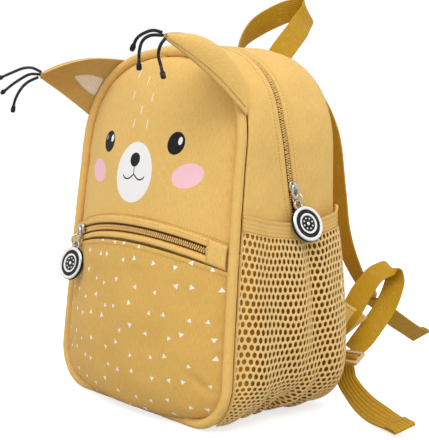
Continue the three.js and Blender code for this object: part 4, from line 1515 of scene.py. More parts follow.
class BACKPACK_OT_zips(bpy.types.Operator):
    """Add both zips: their tapes, the rows of teeth and a dark sheet of painted shade in the main zip's
    open end
    """

    bl_idname = "backpack.zips"
    bl_label = "Zips"

    def execute(self, context):
        finish = materials()
        pitch = context.scene.backpack_cloth.tooth_pitch / MM
        end = place_of_height(FRONT, ZIP_END_HEIGHT)
        slider_place = place_of_height(FRONT, ZIP_SLIDER_HEIGHT)
        rows = []
        teeth = []
        line = [side_point(p, zip_share(p), 0.3) for p in steps(ZIP_STEPS, end, 2 - end)]
        for place in steps(220, end, 2 - end):
            row = []
            for k in steps(6, -1, 1):
                share = zip_share(place) + k * MAIN_TAPE_HALF / depth_at(place)
                row.append(side_point(place, share, -0.2 - 0.5 * abs(k)))
            rows.append(row)
        for count, (i, _, _) in enumerate(paced(line, pitch / 2)):
            place = lerp(end, 2 - end, (i + 1) / ZIP_STEPS)
            nx, nz = side_normal(place)
            gap = TOOTH_OFFSET + PARTING * smooth(slider_place - place, 0, 0.02)
            hand = -1 if count % 2 else 1
            spot = side_point(place, zip_share(place) + hand * gap / depth_at(place), 0.75)
            teeth.append((spot, vec(nx, 0, nz), vec(0, 1, 0)))
        add_sheet("main_zip_tape", rows, finish["tape"], wall=0.8)
        teeth_piece("main_zip_teeth", teeth, nodes=["main_zip"], reach=2.7, width=1.6, rise=1.7)

        # A dark sheet below the slider: painted shade inside the zip's open end.
        rows = []
        for place in steps(20, end, slider_place):
            middle, half = zip_share(place), 2.3 / depth_at(place)
            rows.append([side_point(place, middle + k * half, 0.25) for k in steps(4, -1, 1)])
        add_sheet("main_zip_opening_shade", rows, finish["dark"], wall=0.4)

        reach = half_width_at(FRONT, POCKET_HEIGHT, PANEL_INSET) - END_PATCH - GAP
        rows = []
        for up in steps(6, -1, 1):
            row = []
            for x in steps(60, -reach, reach):
                z = mouth_middle(x) + up * POCKET_TAPE_HALF
                row.append(vec(x, face_at(x, z) - 1.3, z))
            rows.append(row)
        teeth = []
        heights = [(x, mouth_middle(x)) for x in steps(ZIP_STEPS, -reach, reach)]
        line = [vec(x, face_at(x, z) - 2.1, z) for x, z in heights]
        for count, (_, a, b) in enumerate(paced(line, pitch / 2)):
            hand = 1 if count % 2 else -1
            along = (b - a).normalized()
            facing = vec(along.y, -along.x, 0).normalized()
            across = facing.cross(along).normalized()
            teeth.append((a + across * hand * TOOTH_OFFSET, facing, across))
        add_sheet("pocket_zip_tape", rows, finish["tape"], wall=0.8)
        teeth_piece("pocket_zip_teeth", teeth, nodes=["pocket_zip"], reach=2.7, width=1.6, rise=1.6)
        return {"FINISHED"}


# Side pockets


# How far out the painted shade sheet behind the net stands, against the net's own lift.
SHADE_SHEET_SHARE = 0.8
HEM_RIB = 0.28
HEM_RIBS = 4.5


def net_lift(share, up):
    foot = smooth(up, 0, 0.45)
    bow = math.sin(math.pi * clamp(up)) ** 0.75
    full = HEM_STAND_OFF * foot + (NET_BULGE - HEM_STAND_OFF) * bow
    lift = NET_THICK + GAP + NET_CLEAR + full * swell_across(share)
    return lerp(1.4, lift, smooth(share, 0.02, 0.13))


# Gathers at the net's foot: where they start, how they lean, how far they rise and how deep they are
NET_GATHERS = (
    (0.33, -0.1, 0.28, 8.5),
    (0.43, 0.32, 0.36, 6.0),
    (0.22, -0.1, 0.22, 3.5),
    (0.62, 0.2, 0.36, 4.0),
)


def net_folds(share, up):
    """Gathers that rise from the pocket's foot, and the long soft folds of a loaded net."""
    depth = 0.0
    for start, lean, reach, deep in NET_GATHERS:
        middle = start + lean * up
        depth -= deep * bell(share, middle, 0.022 + 0.07 * up) * math.exp(-((up / reach) ** 2))
        depth += 0.5 * deep * bell(share, middle + 0.06, 0.045) * math.exp(-((up / reach) ** 2))
    drape = 2.0 * math.sin(9 * share - 3.2 * up) + 1.6 * math.sin(21 * share + 5 * up + 1)
    depth -= 3.0 * bell(share, 0.6 + 0.06 * (1 - up), 0.045) * smooth(up, 0.35, 0.9)
    return depth + drape * math.sin(math.pi * clamp(up)) * smooth(min(share, 1 - share), 0, 0.15)


def net_mesh(name, side, columns, rows):
    """A honeycomb laid over the pocket, one cell for each hole."""
    points = []
    spots = {}
    faces = []

    def corner(u, v):
        u, v = clamp(u), clamp(v)
        key = (round(u * columns * 6), round(v * rows * 6))
        if key not in spots:
            crowded = 0.6 * (0.6 - u) * bell(u, 0.6, 0.1) * smooth(v, 0.4, 0.85)
            share = lerp(SEAM_START * 0.6, SEAM_END, u + crowded)
            sway = ripple(vec(u * 6, v * 6, side), 1, 0.006)
            top = place_of_height(FRONT, hem_top(share) - HEM_BAND + 2)
            lift = net_lift(share, v) + net_folds(share, v)
            place = lerp(NET_FOOT, top, clamp(v + ripple(vec(u * 7, v * 7, 9), 1, 0.007)))
            spots[key] = len(points)
            share += sway * smooth(min(u, 1 - u), 0, 0.1)
            points.append(side_point(side * place, share, max(lift, 0.9)))
        return spots[key]

    w, h = 1 / columns, 1 / rows
    for i in range(rows):
        shifted = i % 2
        for j in range(columns + shifted):
            x = (j if shifted else j + 0.5) * w
            y = (i + 0.5) * h
            ring = [
                (x, y + h * 2 / 3),
                (x + w / 2, y + h / 3),
                (x + w / 2, y - h / 3),
                (x, y - h * 2 / 3),
                (x - w / 2, y - h / 3),
                (x - w / 2, y + h / 3),
            ]
            ring = [(a, b) for a, b in ring if -1e-6 <= a <= 1 + 1e-6]
            cell = list(dict.fromkeys(corner(a, b) for a, b in ring))
            faces.append(cell)
    uvs = [(p.y * MM, p.z * MM) for p in points]
    return mesh_of(name, points, faces, uvs, BAG_MIDDLE)


class BACKPACK_OT_nets(bpy.types.Operator):
    """Add the knitted side pockets, a dark sheet of painted shade behind each net, and their ribbed hems
    """

    bl_idname = "backpack.nets"
    bl_label = "Net Pockets"

    def execute(self, context):
        finish = materials()
        net = context.scene.backpack_net
        lines = []
        for hand, side in SIDES:
            name = "knitted_net_" + hand
            laid = net_mesh(name, side, net.columns, net.rows)
            mesh = grown(name, laid, "net", {"Hole share": net.hole_share, "Material": finish["net"]})
            add_piece(name, mesh, finish["net"], ["net_" + hand], wall=NET_THICK, levels=1)

            # A dark sheet just inside the net: painted shade seen through its holes.
            rows = []
            for up in steps(36):
                row = []
                for share in steps(40, SEAM_START, SEAM_END - 0.01):
                    place = lerp(NET_FOOT, place_of_height(FRONT, hem_top(share) - HEM_BAND), up)
                    lift = (net_lift(share, up) + net_folds(share, up)) * SHADE_SHEET_SHARE
                    row.append(side_point(side * place, share, max(lift, 0.5)))
                rows.append(row)
            add_sheet("net_backing_" + hand, rows, finish["backing"], wall=0.5)

            rows = []
            edge = []
            for share in steps(70, SEAM_START * 0.6, SEAM_END + 0.012):
                curl = 5.0 * smooth(share, 0.93, 1.0)
                stand = CLOTH + GAP + HEM_STAND_OFF * swell_across(share)
                stand = lerp(1.6, stand, smooth(share, 0.02, 0.13))
                stand += ripple(vec(share * 90, side, 0), 14, 1.0)
                row = []
                for down in steps(14):
                    place = place_of_height(FRONT, hem_top(share) + curl * (1 - down) - HEM_BAND * down)
                    flat = smooth(min(down, 1 - down), 0, 0.1)
                    rib = HEM_RIB * math.cos(2 * math.pi * down * HEM_RIBS) * flat
                    roll = 0.9 * bell(down, 0.03, 0.06)
                    row.append(side_point(side * place, share, stand + rib + roll))
                rows.append(row)
                place = place_of_height(FRONT, hem_top(share) - HEM_BAND * 0.86)
                edge.append(side_point(side * place, share, stand + 0.35))
            lines.append(edge)
            nodes = ["net_hem_" + hand]
            add_sheet("pocket_hem_" + hand, rows, finish["hem"], nodes, CLOTH + 0.6)
        stitch_piece("hem_stitches", lines)
        return {"FINISHED"}


# Ears and their cords

EARS = {
    "right": {"side": 1, "forward": 68, "out": -8, "up": 28, "camber": 10},
    "left": {"side": -1, "forward": 64, "out": 7, "up": 5, "camber": 12},
}
CORD_ROUTES = {
    "ear_cord_right_a": ((-1, -1.7, 3.8), (-7, -4, 5.5), (-16, -4, 5), (-28, -4, 1), (-35, -4, -8)),
    "ear_cord_right_b": ((1, -1.7, 1.5), (-7, -8, 1.5), (-15, -9, -2), (-19, -9, -9), (-21, -8, -24)),
    "ear_cord_right_c": ((3, -1.7, -0.8), (2.5, -6, -6), (1, -7, -13), (4, -7, -22), (7, -7, -31)),
    "ear_cord_left_a": ((1, -1.7, 3.8), (-10, -3, 7.5), (-25, -3, 8), (-44, -3, 5), (-70, -3, 0)),
    "ear_cord_left_b": ((-1, -1.7, 1.6), (-13, -4, 2), (-33, -6, -4), (-60, -6, -14)),
    "ear_cord_left_c": ((-3, -1.7, -0.8), (-10, -8, -5), (-24, -8, -12), (-34, -8, -22), (-38, -8, -32)),
}


CORD_STEPS = 30
EAR_ROWS = 44
EAR_COLUMNS = 26
PATCH_FROM = 0.03
PATCH_REACH = 0.35


def ear_root(side, across):
    return side_point(side * lerp(EAR_FROM, EAR_TO, across), 0.008, GAP)


def ear_tip(ear):
    root = ear_root(ear["side"], 0.5)
    return root + vec(ear["side"] * ear["out"], -ear["forward"], ear["up"])


def ear_outward(ear):
    middle = ear_root(ear["side"], 0.5)
    return vec(middle.x, 0, middle.z - FRONT["shoulder"]).normalized()


def ear_point(ear, along, across, lift):
    side = ear["side"]
    spread = (ear_root(side, 1) - ear_root(side, 0)).normalized()
    tip = ear_tip(ear) + spread * (across - 0.5) * EAR_TIP
    point = ear_root(side, across).lerp(tip, along)
    point += spread * EAR_BOW * across**2 * math.sin(math.pi * along)
    belly = 4 * across * (1 - across)
    swell = ear["camber"] * math.sin(math.pi * along) * (0.35 + 0.65 * belly)
    thick = CLOTH + (EAR_THICK - CLOTH) * belly * (1 - 0.6 * along)
    return point + ear_outward(ear) * (swell + lift * thick)


class BACKPACK_OT_cords(bpy.types.Operator):
    """Add the knotted cords at the ears' tips"""

    bl_idname = "backpack.cords"
    bl_label = "Ear Cords"

    def execute(self, context):
        for name, route in CORD_ROUTES.items():
            tip = ear_tip(EARS["right" if "right" in name else "left"])
            points = [tip + Vector(p) for p in route]
            shares, length = spaced(points, CORD_STEPS)
            curve = bpy.data.curves.new(name + "_cord", "CURVE")
            curve.dimensions = "3D"
            curve.bevel_depth = CORD / 2 * MM
            curve.bevel_resolution = 3
            curve.use_fill_caps = True
            line = curve.splines.new("POLY")
            line.points.add(len(shares) - 1)
            for point, share in zip(line.points, shares):
                at = curve_point(points, share)
                point.co = (at.x * MM, at.y * MM, at.z * MM, 1)
            for k, point in enumerate(line.points):
                left = length * (1 - k / CORD_STEPS)
                knot = smooth(KNOT * 1.3 - left, 0, 1.0) * (1 - 0.5 * smooth(0.8 - left, 0, 0.8))
                point.radius = 1 + (KNOT / CORD - 1) * knot
            obj = bpy.data.objects.new(name + "_cord", curve)
            context.scene.collection.objects.link(obj)
            curve.materials.append(materials()["cord"])
            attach(obj, "root")
            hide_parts(name)
        return {"FINISHED"}


class BACKPACK_OT_ears(bpy.types.Operator):
    """Add the two padded ears with painted shade on their inner faces, rows of dark beads beside their
    seams as painted crease shade, and their pale inner patches
    """

    bl_idname = "backpack.ears"
    bl_label = "Ears"

    def execute(self, context):
        finish = materials()
        lines = []
        for hand, ear in EARS.items():
            sections = []
            for along in steps(EAR_ROWS):
                outer = [ear_point(ear, along, a, 1) for a in eased(EAR_COLUMNS, 0, 1)]
                inner = [ear_point(ear, along, a, 0) for a in eased(EAR_COLUMNS, 1, 0)]
                wave = [ripple(p, 22, 1.1) * math.sin(math.pi * along) for p in outer]
                outer = [p + ear_outward(ear) * w for p, w in zip(outer, wave)]
                sections.append(outer + inner)
            name = "ear_cloth_" + hand
            mesh = body_mesh(name, sections)
            mesh.materials.append(finish["canvas"])
            mesh.materials.append(finish["lining"])
            # Faces on the ear's inner side take the darker material: partly the lining's own tone, partly
            # painted shade.
            ring = len(sections[0])
            for k, face in enumerate(mesh.polygons):
                inside = EAR_COLUMNS < k % ring < ring - 1 and k < EAR_ROWS * ring
                face.material_index = int(inside)
            obj = add_piece(name, mesh, None, ["ear_" + hand])
            # Rows of dark beads beside each ear seam: painted shade in the crease.
            for across in (0.045, 0.955):
                span = steps(40, 0.04, 0.97)
                lines.append([ear_point(ear, a, across, 1) + ear_outward(ear) * 0.35 for a in span])
            patch = []
            for along in steps(20, PATCH_FROM, PATCH_FROM + PATCH_REACH):
                share = (along - PATCH_FROM) / PATCH_REACH
                width = 0.145 * math.sin(math.pi * min(1, 0.4 + 0.6 * share)) ** 0.8 + 0.004
                row = []
                for wing in steps(10, -1, 1):
                    swell = 0.5 * (1 - wing * wing)
                    point = ear_point(ear, along, 0.42 + wing * width, 0)
                    row.append(point - ear_outward(ear) * (0.5 + swell))
                patch.append(row)
            nodes = ["ear_inner_" + hand]
            away = ear_point(ear, 0.3, 0.5, 3)
            add_sheet("ear_patch_" + hand, patch, finish["inner"], nodes, 0.9, away)
        stitch_piece("ear_seam_shade_beads", lines, pitch=1.3, material="crease", thread=0.6)
        return {"FINISHED"}


# Webbing: handle, shoulder straps, lower loops, tails and sliders

# Each row is a middle point and the direction across the band, from the band's own root
HANDLE = (
    ((-0.4, 0.02, -0.32), (-0.8, 0.5, -0.1)),
    ((-0.41, 0.12, -0.08), (-0.65, 0.7, -0.15)),
    ((-0.42, 0.3, 0.14), (-0.45, 0.75, -0.45)),
    ((-0.36, 0.5, 0.31), (-0.17, 0.65, -0.74)),
    ((-0.22, 0.7, 0.45), (-0.04, 0.57, -0.82)),
    ((-0.06, 0.92, 0.56), (0.06, 0.57, -0.82)),
    ((0.12, 1.08, 0.58), (0.06, 0.59, -0.8)),
    ((0.22, 1.02, 0.5), (0.07, 0.64, -0.77)),
    ((0.28, 0.84, 0.36), (0.23, 0.73, -0.64)),
    ((0.38, 0.6, 0.2), (0.4, 0.74, -0.54)),
    ((0.43, 0.34, 0), (0.5, 0.7, -0.5)),
    ((0.45, 0.12, -0.2), (0.7, 0.6, -0.4)),
    ((0.44, 0.02, -0.36), (0.85, 0.5, -0.1)),
)
STRAP = (
    ((0, 0, 0), (-1, 0, 0)),
    ((0.065, 0.1, -0.1), (-1, 0, -0.05)),
    ((0.13, 0.165, -0.28), (-0.98, 0.05, -0.15)),
    ((0.19, 0.159, -0.56), (-0.98, 0.1, -0.18)),
    ((0.236, 0.137, -0.735), (-0.96, 0.14, -0.25)),
    ((0.27, 0.145, -0.85), (-0.95, 0.16, -0.25)),
    ((0.287, 0.178, -0.93), (-0.9, 0.3, -0.3)),
    ((0.305, 0.196, -0.972), (-0.9, 0.31, -0.3)),
)
STRAP_TAIL = (
    ((0, 0, 0), (-0.85, 0.3, -0.4)),
    ((0, 0.13, -0.06), (-0.76, 0.4, -0.52)),
    ((0.01, 0.39, -0.25), (-0.75, 0.24, -0.61)),
    ((-0.02, 0.745, -0.44), (-0.8, 0.18, -0.57)),
    ((-0.04, 1, -0.56), (-0.7, 0.16, -0.7)),
)
LOOP = (
    ((-0.2, -0.2, -0.18), (-0.83, 0.08, 0.55)),
    ((-0.07, -0.03, 0.12), (-0.81, 0.11, 0.58)),
    ((-0.06, 0.24, 0.42), (-0.79, 0.14, 0.6)),
    ((-0.04, 0.38, 0.56), (-0.8, 0.2, 0.57)),
    ((0, 0.56, 0.72), (-0.81, 0.24, 0.54)),
    ((0.06, 0.73, 0.79), (-0.84, 0.18, 0.5)),
    ((0.12, 0.9, 0.82), (-0.92, 0, 0.38)),
    ((0.17, 0.93, 0.62), (-0.99, -0.07, 0.1)),
    ((0.2, 0.82, 0.42), (-0.98, -0.19, 0.06)),
    ((0.2, 0.57, 0.1), (-0.91, -0.37, 0.15)),
    ((0.16, 0.3, -0.16), (-0.9, -0.4, 0.15)),
    ((0.1, 0.1, -0.38), (-0.88, -0.4, 0)),
    ((0, -0.07, -0.58), (-0.98, -0.05, -0.05)),
)
LOOP_TAIL = (
    ((0, 0, 0), (-0.95, 0, -0.25)),
    ((0.01, 0.01, -0.14), (-0.75, -0.2, -0.6)),
    ((0.144, -0.011, -0.267), (-0.8, -0.16, -0.52)),
    ((0.333, -0.078, -0.333), (-0.87, -0.08, -0.4)),
    ((0.556, -0.156, -0.358), (-0.96, 0, -0.2)),
    ((0.91, -0.3, -0.352), (-0.92, 0.05, -0.1)),
)
BAND_EDGE = (
    (1, 0.4),
    (1, -0.4),
    (0.97, -1),
    (0.5, -1),
    (0, -1),
    (-0.5, -1),
    (-0.97, -1),
    (-1, -0.4),
    (-1, 0.4),
    (-0.97, 1),
    (-0.5, 1),
    (0, 1),
    (0.5, 1),
    (0.97, 1),
)


def stations_from(origin, reach, side, rows):
    return [
        (origin + vec(side * at[0], at[1], at[2]) * reach, vec(side * across[0], across[1], across[2]))
        for at, across in rows
    ]


BAND_STEP = 2.2
FOLD_STEPS = 8


def band_frames(stations, step=BAND_STEP):
    """Even stations along a band: middle, direction across, and the way its face points."""
    middles = [s[0] for s in stations]
    acrosses = [s[1] for s in stations]
    length = spaced(middles, 1)[1]
    shares, _ = spaced(middles, max(8, round(length / step)))
    frames = []
    for t in shares:
        at = curve_point(middles, t)
        ahead, behind = curve_point(middles, min(t + 0.002, 1)), curve_point(middles, max(t - 0.002, 0))
        along = (ahead - behind).normalized()
        wide = curve_point(acrosses, t).normalized()
        wide = (wide - along * wide.dot(along)).normalized()
        frames.append((at, wide, along.cross(wide).normalized(), along))
    return frames


def band_mesh(name, frames, width, thick=WEBBING_THICK):
    sections = []
    for at, wide, normal, _ in frames:
        sections.append([at + wide * (a * width / 2) + normal * (b * thick / 2) for a, b in BAND_EDGE])
    mesh = body_mesh(name, sections)
    mesh.set_sharp_from_angle(angle=math.radians(40))
    return mesh


def add_band(name, frames, material, nodes=(), width=WEBBING, thick=WEBBING_THICK):
    return add_piece(name, band_mesh(name, frames, width, thick), material, nodes)


def folded_end(frames, fold, turn):
    """A tail's frames, carried on round its end and back on one side of the band."""
    frames = list(frames)
    at, wide, normal, along = frames[-1]
    radius = WEBBING_THICK * 0.62
    side = normal * turn
    for k in range(1, FOLD_STEPS + 1):
        angle = math.pi * k / FOLD_STEPS
        middle = at + along * radius * math.sin(angle) + side * radius * (1 - math.cos(angle))
        face = (normal * math.cos(angle) - along * turn * math.sin(angle)).normalized()
        frames.append((middle, wide, face, face.cross(wide) * -1))
    back = frames[:-FOLD_STEPS][::-1]
    run = 0.0
    for first, second in zip(back, back[1:]):
        run += (second[0] - first[0]).length
        if run > fold:
            break
        at, wide, normal, along = second
        frames.append((at + normal * turn * radius * 2, wide, -normal, -along))
    return frames


def slider_piece(name, node, at, across, along):
    def block(width, length, shift=0.0, corner=1.2):
        w, l = width / 2 - corner, length / 2 - corner
        loop = []
        for k, (sx, sy) in enumerate(((1, 1), (-1, 1), (-1, -1), (1, -1))):
            for a in steps(4, k * math.pi / 2, (k + 1) * math.pi / 2):
                loop.append((sx * w + corner * math.cos(a), sy * l + corner * math.sin(a) + shift))
        return loop

    loops = [block(SLIDER_WIDTH, SLIDER_LENGTH, 0, 2.2)]
    for shift in (SLIDER_LENGTH * 0.2, -SLIDER_LENGTH * 0.2):
        loops.append(block(WEBBING + 1, SLIDER_SLOT, shift, 0.6))
    mesh = plate(name, loops, SLIDER_THICK, 0.8, materials()["plastic"])
    x = across.normalized()
    z = x.cross(along).normalized()
    placed(mesh, at, z, z.cross(x))
    mesh.shade_smooth()
    mesh.set_sharp_from_angle(angle=math.radians(50))
    return add_piece(name, mesh, None, [node])


def add_threading(name, start, finish, across, along, turn):
    """The short run of webbing that passes under, over and under a slider's bars."""
    normal = across.normalized().cross(along).normalized() * turn
    span = finish - start
    heights = (0, -0.2, -2.2, -1.2, 1.6, 2.2, 1.6, -1.2, -2.2, -0.2, 0)
    shares = (0, 0.1, 0.2, 0.33, 0.42, 0.5, 0.58, 0.67, 0.8, 0.9, 1)
    rows = [(start + span * s + normal * h, across) for s, h in zip(shares, heights)]
    frames = band_frames(rows, 0.9)
    add_band(name, frames, materials()["webbing"], (), WEBBING - 0.4, WEBBING_THICK * 0.8)


def add_ending(place, kind, hand, band, way, route, folded, material):
    """What a band ends in: a slider, the webbing threaded through it and a folded tail."""
    end, across = band[-1]
    side = dict(SIDES)[hand]
    reach = SLIDER_LENGTH / 2 + 0.6 + GAP
    start = end + way * (2 * reach + 1)
    slider = f"{place}_slider_{hand}"
    slider_piece(slider, f"{kind}_slider_{hand}", end + way * reach, across, way)
    name = f"{place}_threading_{hand}"
    add_threading(name, end - way * 0.8, start + way * 0.5, across, way, side)
    tail = band_frames(stations_from(start, TAIL, side, route))
    frames = folded_end(tail, HEM_FOLD, folded)
    add_band(f"{place}_tail_{hand}", frames, materials()[material], [f"{kind}_tail_{hand}"])
    return tail, folded


class BACKPACK_OT_straps(bpy.types.Operator):
    """Add the handle, shoulder straps, lower loops, tabs, tails and sliders"""

    bl_idname = "backpack.straps"
    bl_label = "Straps and Handle"

    def execute(self, context):
        finish = materials()
        top = BACK["top"]
        origin = vec(0, back_seam(top) + BACK_BULGE * 0.9, top + 7)
        frames = band_frames(stations_from(origin, HANDLE_REACH, 1, HANDLE))
        add_band("carry_handle", frames, finish["webbing"], ["handle"], HANDLE_WIDTH)
        across_lines = []
        tab_lines = []
        for hand, side in SIDES:
            high = BACK["top"] * 0.94
            y = back_seam(high) + BACK_BULGE * 0.75 + WEBBING_THICK
            strap = stations_from(vec(side * BAG_WIDTH * 0.19, y, high), STRAP_DROP, side, STRAP)
            frames = band_frames(strap)
            add_band("shoulder_webbing_" + hand, frames, finish["webbing"], ["shoulder_strap_" + hand])
            way = vec(side * 0.41, 0.2, -0.89).normalized()
            tails = [add_ending("upper", "strap", hand, strap, way, STRAP_TAIL, 1, "webbing")]

            x = side * (half_width_at(BACK, TAB_HEIGHT) - CLOTH)
            root = vec(x, back_seam(TAB_HEIGHT) + CLOTH, TAB_HEIGHT)
            apex = root + vec(side * TAB_REACH * 0.55, TAB_REACH * 0.85, 1)
            out = vec(side * 0.8, -0.6, 0)
            tip = root.lerp(apex, 1.5)
            rows = []
            for k in steps(14):
                spread = vec(0, 0, TAB_LENGTH / 2 * (1 - k) + 0.6)
                upper = root.lerp(tip, k) + spread
                lower = root.lerp(tip, k) - spread
                row = []
                for s in steps(14):
                    puff = 0.9 * math.sin(math.pi * s) ** 0.6 * (1 - 0.5 * k)
                    row.append(upper.lerp(lower, s) + out * (CLOTH * 0.4 + puff))
                rows.append(row)
            nodes = ["strap_tab_" + hand]
            away = root - out * 60
            add_sheet("strap_patch_" + hand, rows, finish["canvas"], nodes, CLOTH + 0.8, away)
            for sign in (1, -1):
                edge = []
                for k in steps(12, 0, 0.86):
                    spread = max(TAB_LENGTH / 2 * (1 - k) - 2.6, 0.2)
                    edge.append(root.lerp(tip, k) + vec(0, 0, sign * spread) + out * (CLOTH * 0.4 + 0.75))
                tab_lines.append(edge)

            loop = stations_from(apex, LOOP_REACH, side, LOOP)
            frames = band_frames(loop)
            add_band("lower_loop_" + hand, frames, finish["webbing"], ["webbing_loop_" + hand])
            way = vec(side * 0.25, -0.87, -0.42).normalized()
            tails.append(add_ending("lower", "loop", hand, loop, way, LOOP_TAIL, -side, "ribbed"))
            for frames, folded in tails:
                for turn in (1, -1):
                    index = max(0, len(frames) - 1 - round((HEM_FOLD - 3) / BAND_STEP))
                    at, wide, normal, _ = frames[index]
                    lift = WEBBING_THICK * (1.8 if turn == folded else 0.5)
                    across_lines.append([at + wide * w + normal * turn * lift for w in (-8.5, 0, 8.5)])
        stitch_piece("band_stitches", across_lines, pitch=2.6, material="band_thread")
        stitch_piece("tab_stitches", tab_lines)
        return {"FINISHED"}


# Zip pulls

ZIP_SLIDER_HEIGHT = HEM_HEIGHT + CHARM * 0.42
BODY_HALF = 4.5
DOT_RING = 4.6
SLIDER_SHAPE = ((0.3, -1), (0.44, -0.5), (0.5, 0.1), (0.42, 0.8), (0.3, 1))


def bent_bar(name, points, width, thick, side, material):
    sections = []
    for i, p in enumerate(points):
        along = (points[min(i + 1, len(points) - 1)] - points[max(i - 1, 0)]).normalized()
        normal = along.cross(side).normalized()
        sections.append(
            [
                p + side * (width / 2 * math.cos(a)) + normal * (thick / 2 * math.sin(a))
                for a in (2 * math.pi * (k + 0.5) / 8 for k in range(8))
            ]
        )
    mesh = body_mesh(name, sections)
    mesh.materials.append(material)
    return mesh


def charm_mesh(name, finish):
    """A disc with a pale rim, a dark field, a pale ring and small dots, the same on both faces."""
    rim = CHARM / 2
    high, low = CHARM_THICK / 2, CHARM_THICK / 2 - 0.6
    dark, pale, metal = 0, 1, 2
    face = [
        (0.01, low, dark),
        (6.9, low, dark),
        (7.2, high - 0.1, pale),
        (8.7, high - 0.1, pale),
        (9.0, low, dark),
        (12.2, low, dark),
        (12.6, high - 0.15, pale),
        (13.3, high, pale),
        (14.5, high - 0.1, pale),
        (rim - 0.25, high - 0.7, metal),
        (rim, high - 1.2, dark),
    ]
    waist = [(rim - 0.3, 0.5, dark), (rim - 0.3, -0.5, dark)]
    profile = face + waist + [(r, -h, m) for r, h, m in face[::-1]]
    around = 64
    points, faces, kinds = [], [], []
    for r, h, _ in profile:
        for a in round_angles(around):
            points.append(vec(r * math.cos(a), r * math.sin(a), h))
    for i in range(len(profile) - 1):
        for k in range(around):
            a, b = i * around + k, i * around + (k + 1) % around
            faces.append((a, b, b + around, a + around))
            kinds.append(profile[i + 1][2] if i < len(face) else profile[i][2])
    last = (len(profile) - 1) * around
    faces += [tuple(range(around)), tuple(last + k for k in range(around))[::-1]]
    kinds += [dark, dark]
    disc = mesh_of(name, points, faces, [(p.x * MM, p.y * MM) for p in points], Vector((0, 0, 0)))
    for key in ("enamel", "white", "metal"):
        disc.materials.append(finish[key])
    for polygon, kind in zip(disc.polygons, kinds):
        polygon.material_index = kind
    disc.set_sharp_from_angle(angle=math.radians(45))
    parts = [disc]
    spots = [(0, 0, 1.5)]
    spots += [(DOT_RING * math.cos(a), DOT_RING * math.sin(a), 0.75) for a in round_angles(8)]
    for x, y, radius in spots:
        dot = ellipse(radius * 2, radius * 2, 14, x, y)
        parts.append(plate(name, [dot], CHARM_THICK - 0.7, 0.2, finish["white"]))
    return joined(name, parts)


def pull_pieces(name, seat, faces, tilt_faces, tilt_top):
    finish = materials()
    normal = faces.normalized()
    up = (vec(0, 0, 1) - normal * normal.z).normalized()
    sideways = up.cross(normal)

    def spot(rise, high):
        return seat + normal * rise + up * high

    right = [(x * LINK_WIDTH, y * BODY_HALF) for x, y in SLIDER_SHAPE]
    outline = [(-right[0][0], right[0][1])] + right + [(-x, y) for x, y in right[:0:-1]]
    centre = spot(BODY_THICK / 2, LINK_LENGTH * 0.3)
    body = placed(plate(name, [outline], BODY_THICK, 0.7, finish["metal"]), centre, normal, up)
    front = BODY_THICK + GAP
    arch = []
    for k in steps(12):
        rise = BODY_THICK - 0.4 + 3.3 * math.sin(math.pi * k) ** 0.55
        arch.append(spot(rise, LINK_LENGTH * 0.3 + lerp(4.0, -3.6, k)))
    bridge = bent_bar(name, arch, 2.6, 1.2, sideways, finish["metal"])
    mesh = joined(name + "_zip_slider", [body, bridge])
    mesh.shade_smooth()
    mesh.set_sharp_from_angle(angle=math.radians(50))
    add_piece(name + "_zip_slider", mesh, None, [name + "_slider"])

    loops = [ellipse(LINK_WIDTH, LINK_LENGTH), ellipse(LINK_WIDTH * 0.5, LINK_LENGTH * 0.6)]
    link = plate(name, loops, LINK_THICK, 0.7, finish["metal"])
    placed(link, spot(front + LINK_THICK / 2, 0), normal, up)
    link.shade_smooth()
    add_piece(name + "_link", link, None, [name + "_pull"])

    centre = spot(front + LINK_THICK / 2 + RING / 2 - 2.7, -LINK_LENGTH * 0.115 - RING / 2)
    sections = []
    wire_half = RING_WIRE / 2
    for a in round_angles(40):
        out = up * math.sin(a) + normal * math.cos(a)
        ring = []
        for b in round_angles(10):
            middle = centre + out * (RING / 2 + wire_half * math.cos(b))
            ring.append(middle + sideways * (wire_half * math.sin(b)))
        sections.append(ring)
    ring_mesh = body_mesh(name + "_split_ring", sections, ringed=True)
    add_piece(name + "_split_ring", ring_mesh, finish["metal"], [name + "_ring"])

    hole = CHARM / 2 + CHARM_LUG * 0.25
    half = CHARM_LUG / 2
    lug = [(half * math.cos(a), hole + half * math.sin(a)) for a in steps(14, 0, math.pi)]
    lug = [(half, CHARM / 2 - 2)] + lug + [(-half, CHARM / 2 - 2)]
    eye = ellipse(RING_WIRE * 3.8, RING_WIRE * 3.8, 20, 0, hole)
    hanger = plate(name, [lug, eye], 2.6, 0.5, finish["metal"])
    charm = joined(name + "_disc", [charm_mesh(name, finish), hanger])
    charm.transform(Matrix.Translation((0, -hole * MM, 0)))
    hung = centre - up * (RING / 2 - 0.15)
    placed(charm, hung, tilt_faces, tilt_top)
    add_piece(name + "_disc", charm, None, [name + "_charm"])


class BACKPACK_OT_pulls(bpy.types.Operator):
    """Add the zip sliders with their links, rings and hanging discs"""

    bl_idname = "backpack.pulls"
    bl_label = "Zip Pulls"

    def execute(self, context):
        place = place_of_height(FRONT, ZIP_SLIDER_HEIGHT)
        seat = side_point(place, zip_share(place), 1.0)
        pull_pieces("main", seat, vec(1, 0, 0.06), vec(0.93, -0.14, 0.38), vec(-0.5, -0.24, 0.9))
        x = -BAG_WIDTH * 0.325
        z = mouth_middle(x) - 2
        front = vec(x, face_at(x, z) - BAND_THICK - 1.9, z)
        pull_pieces("pocket", front, vec(-0.38, -1, 0.02), vec(0.06, -0.95, 0.3), vec(0.1, 0.1, 1))
        return {"FINISHED"}


# Camera and stage


CAMERA_PLACE = (0.607, -0.543, 0.254)
LAMP_AWAY = 1.5


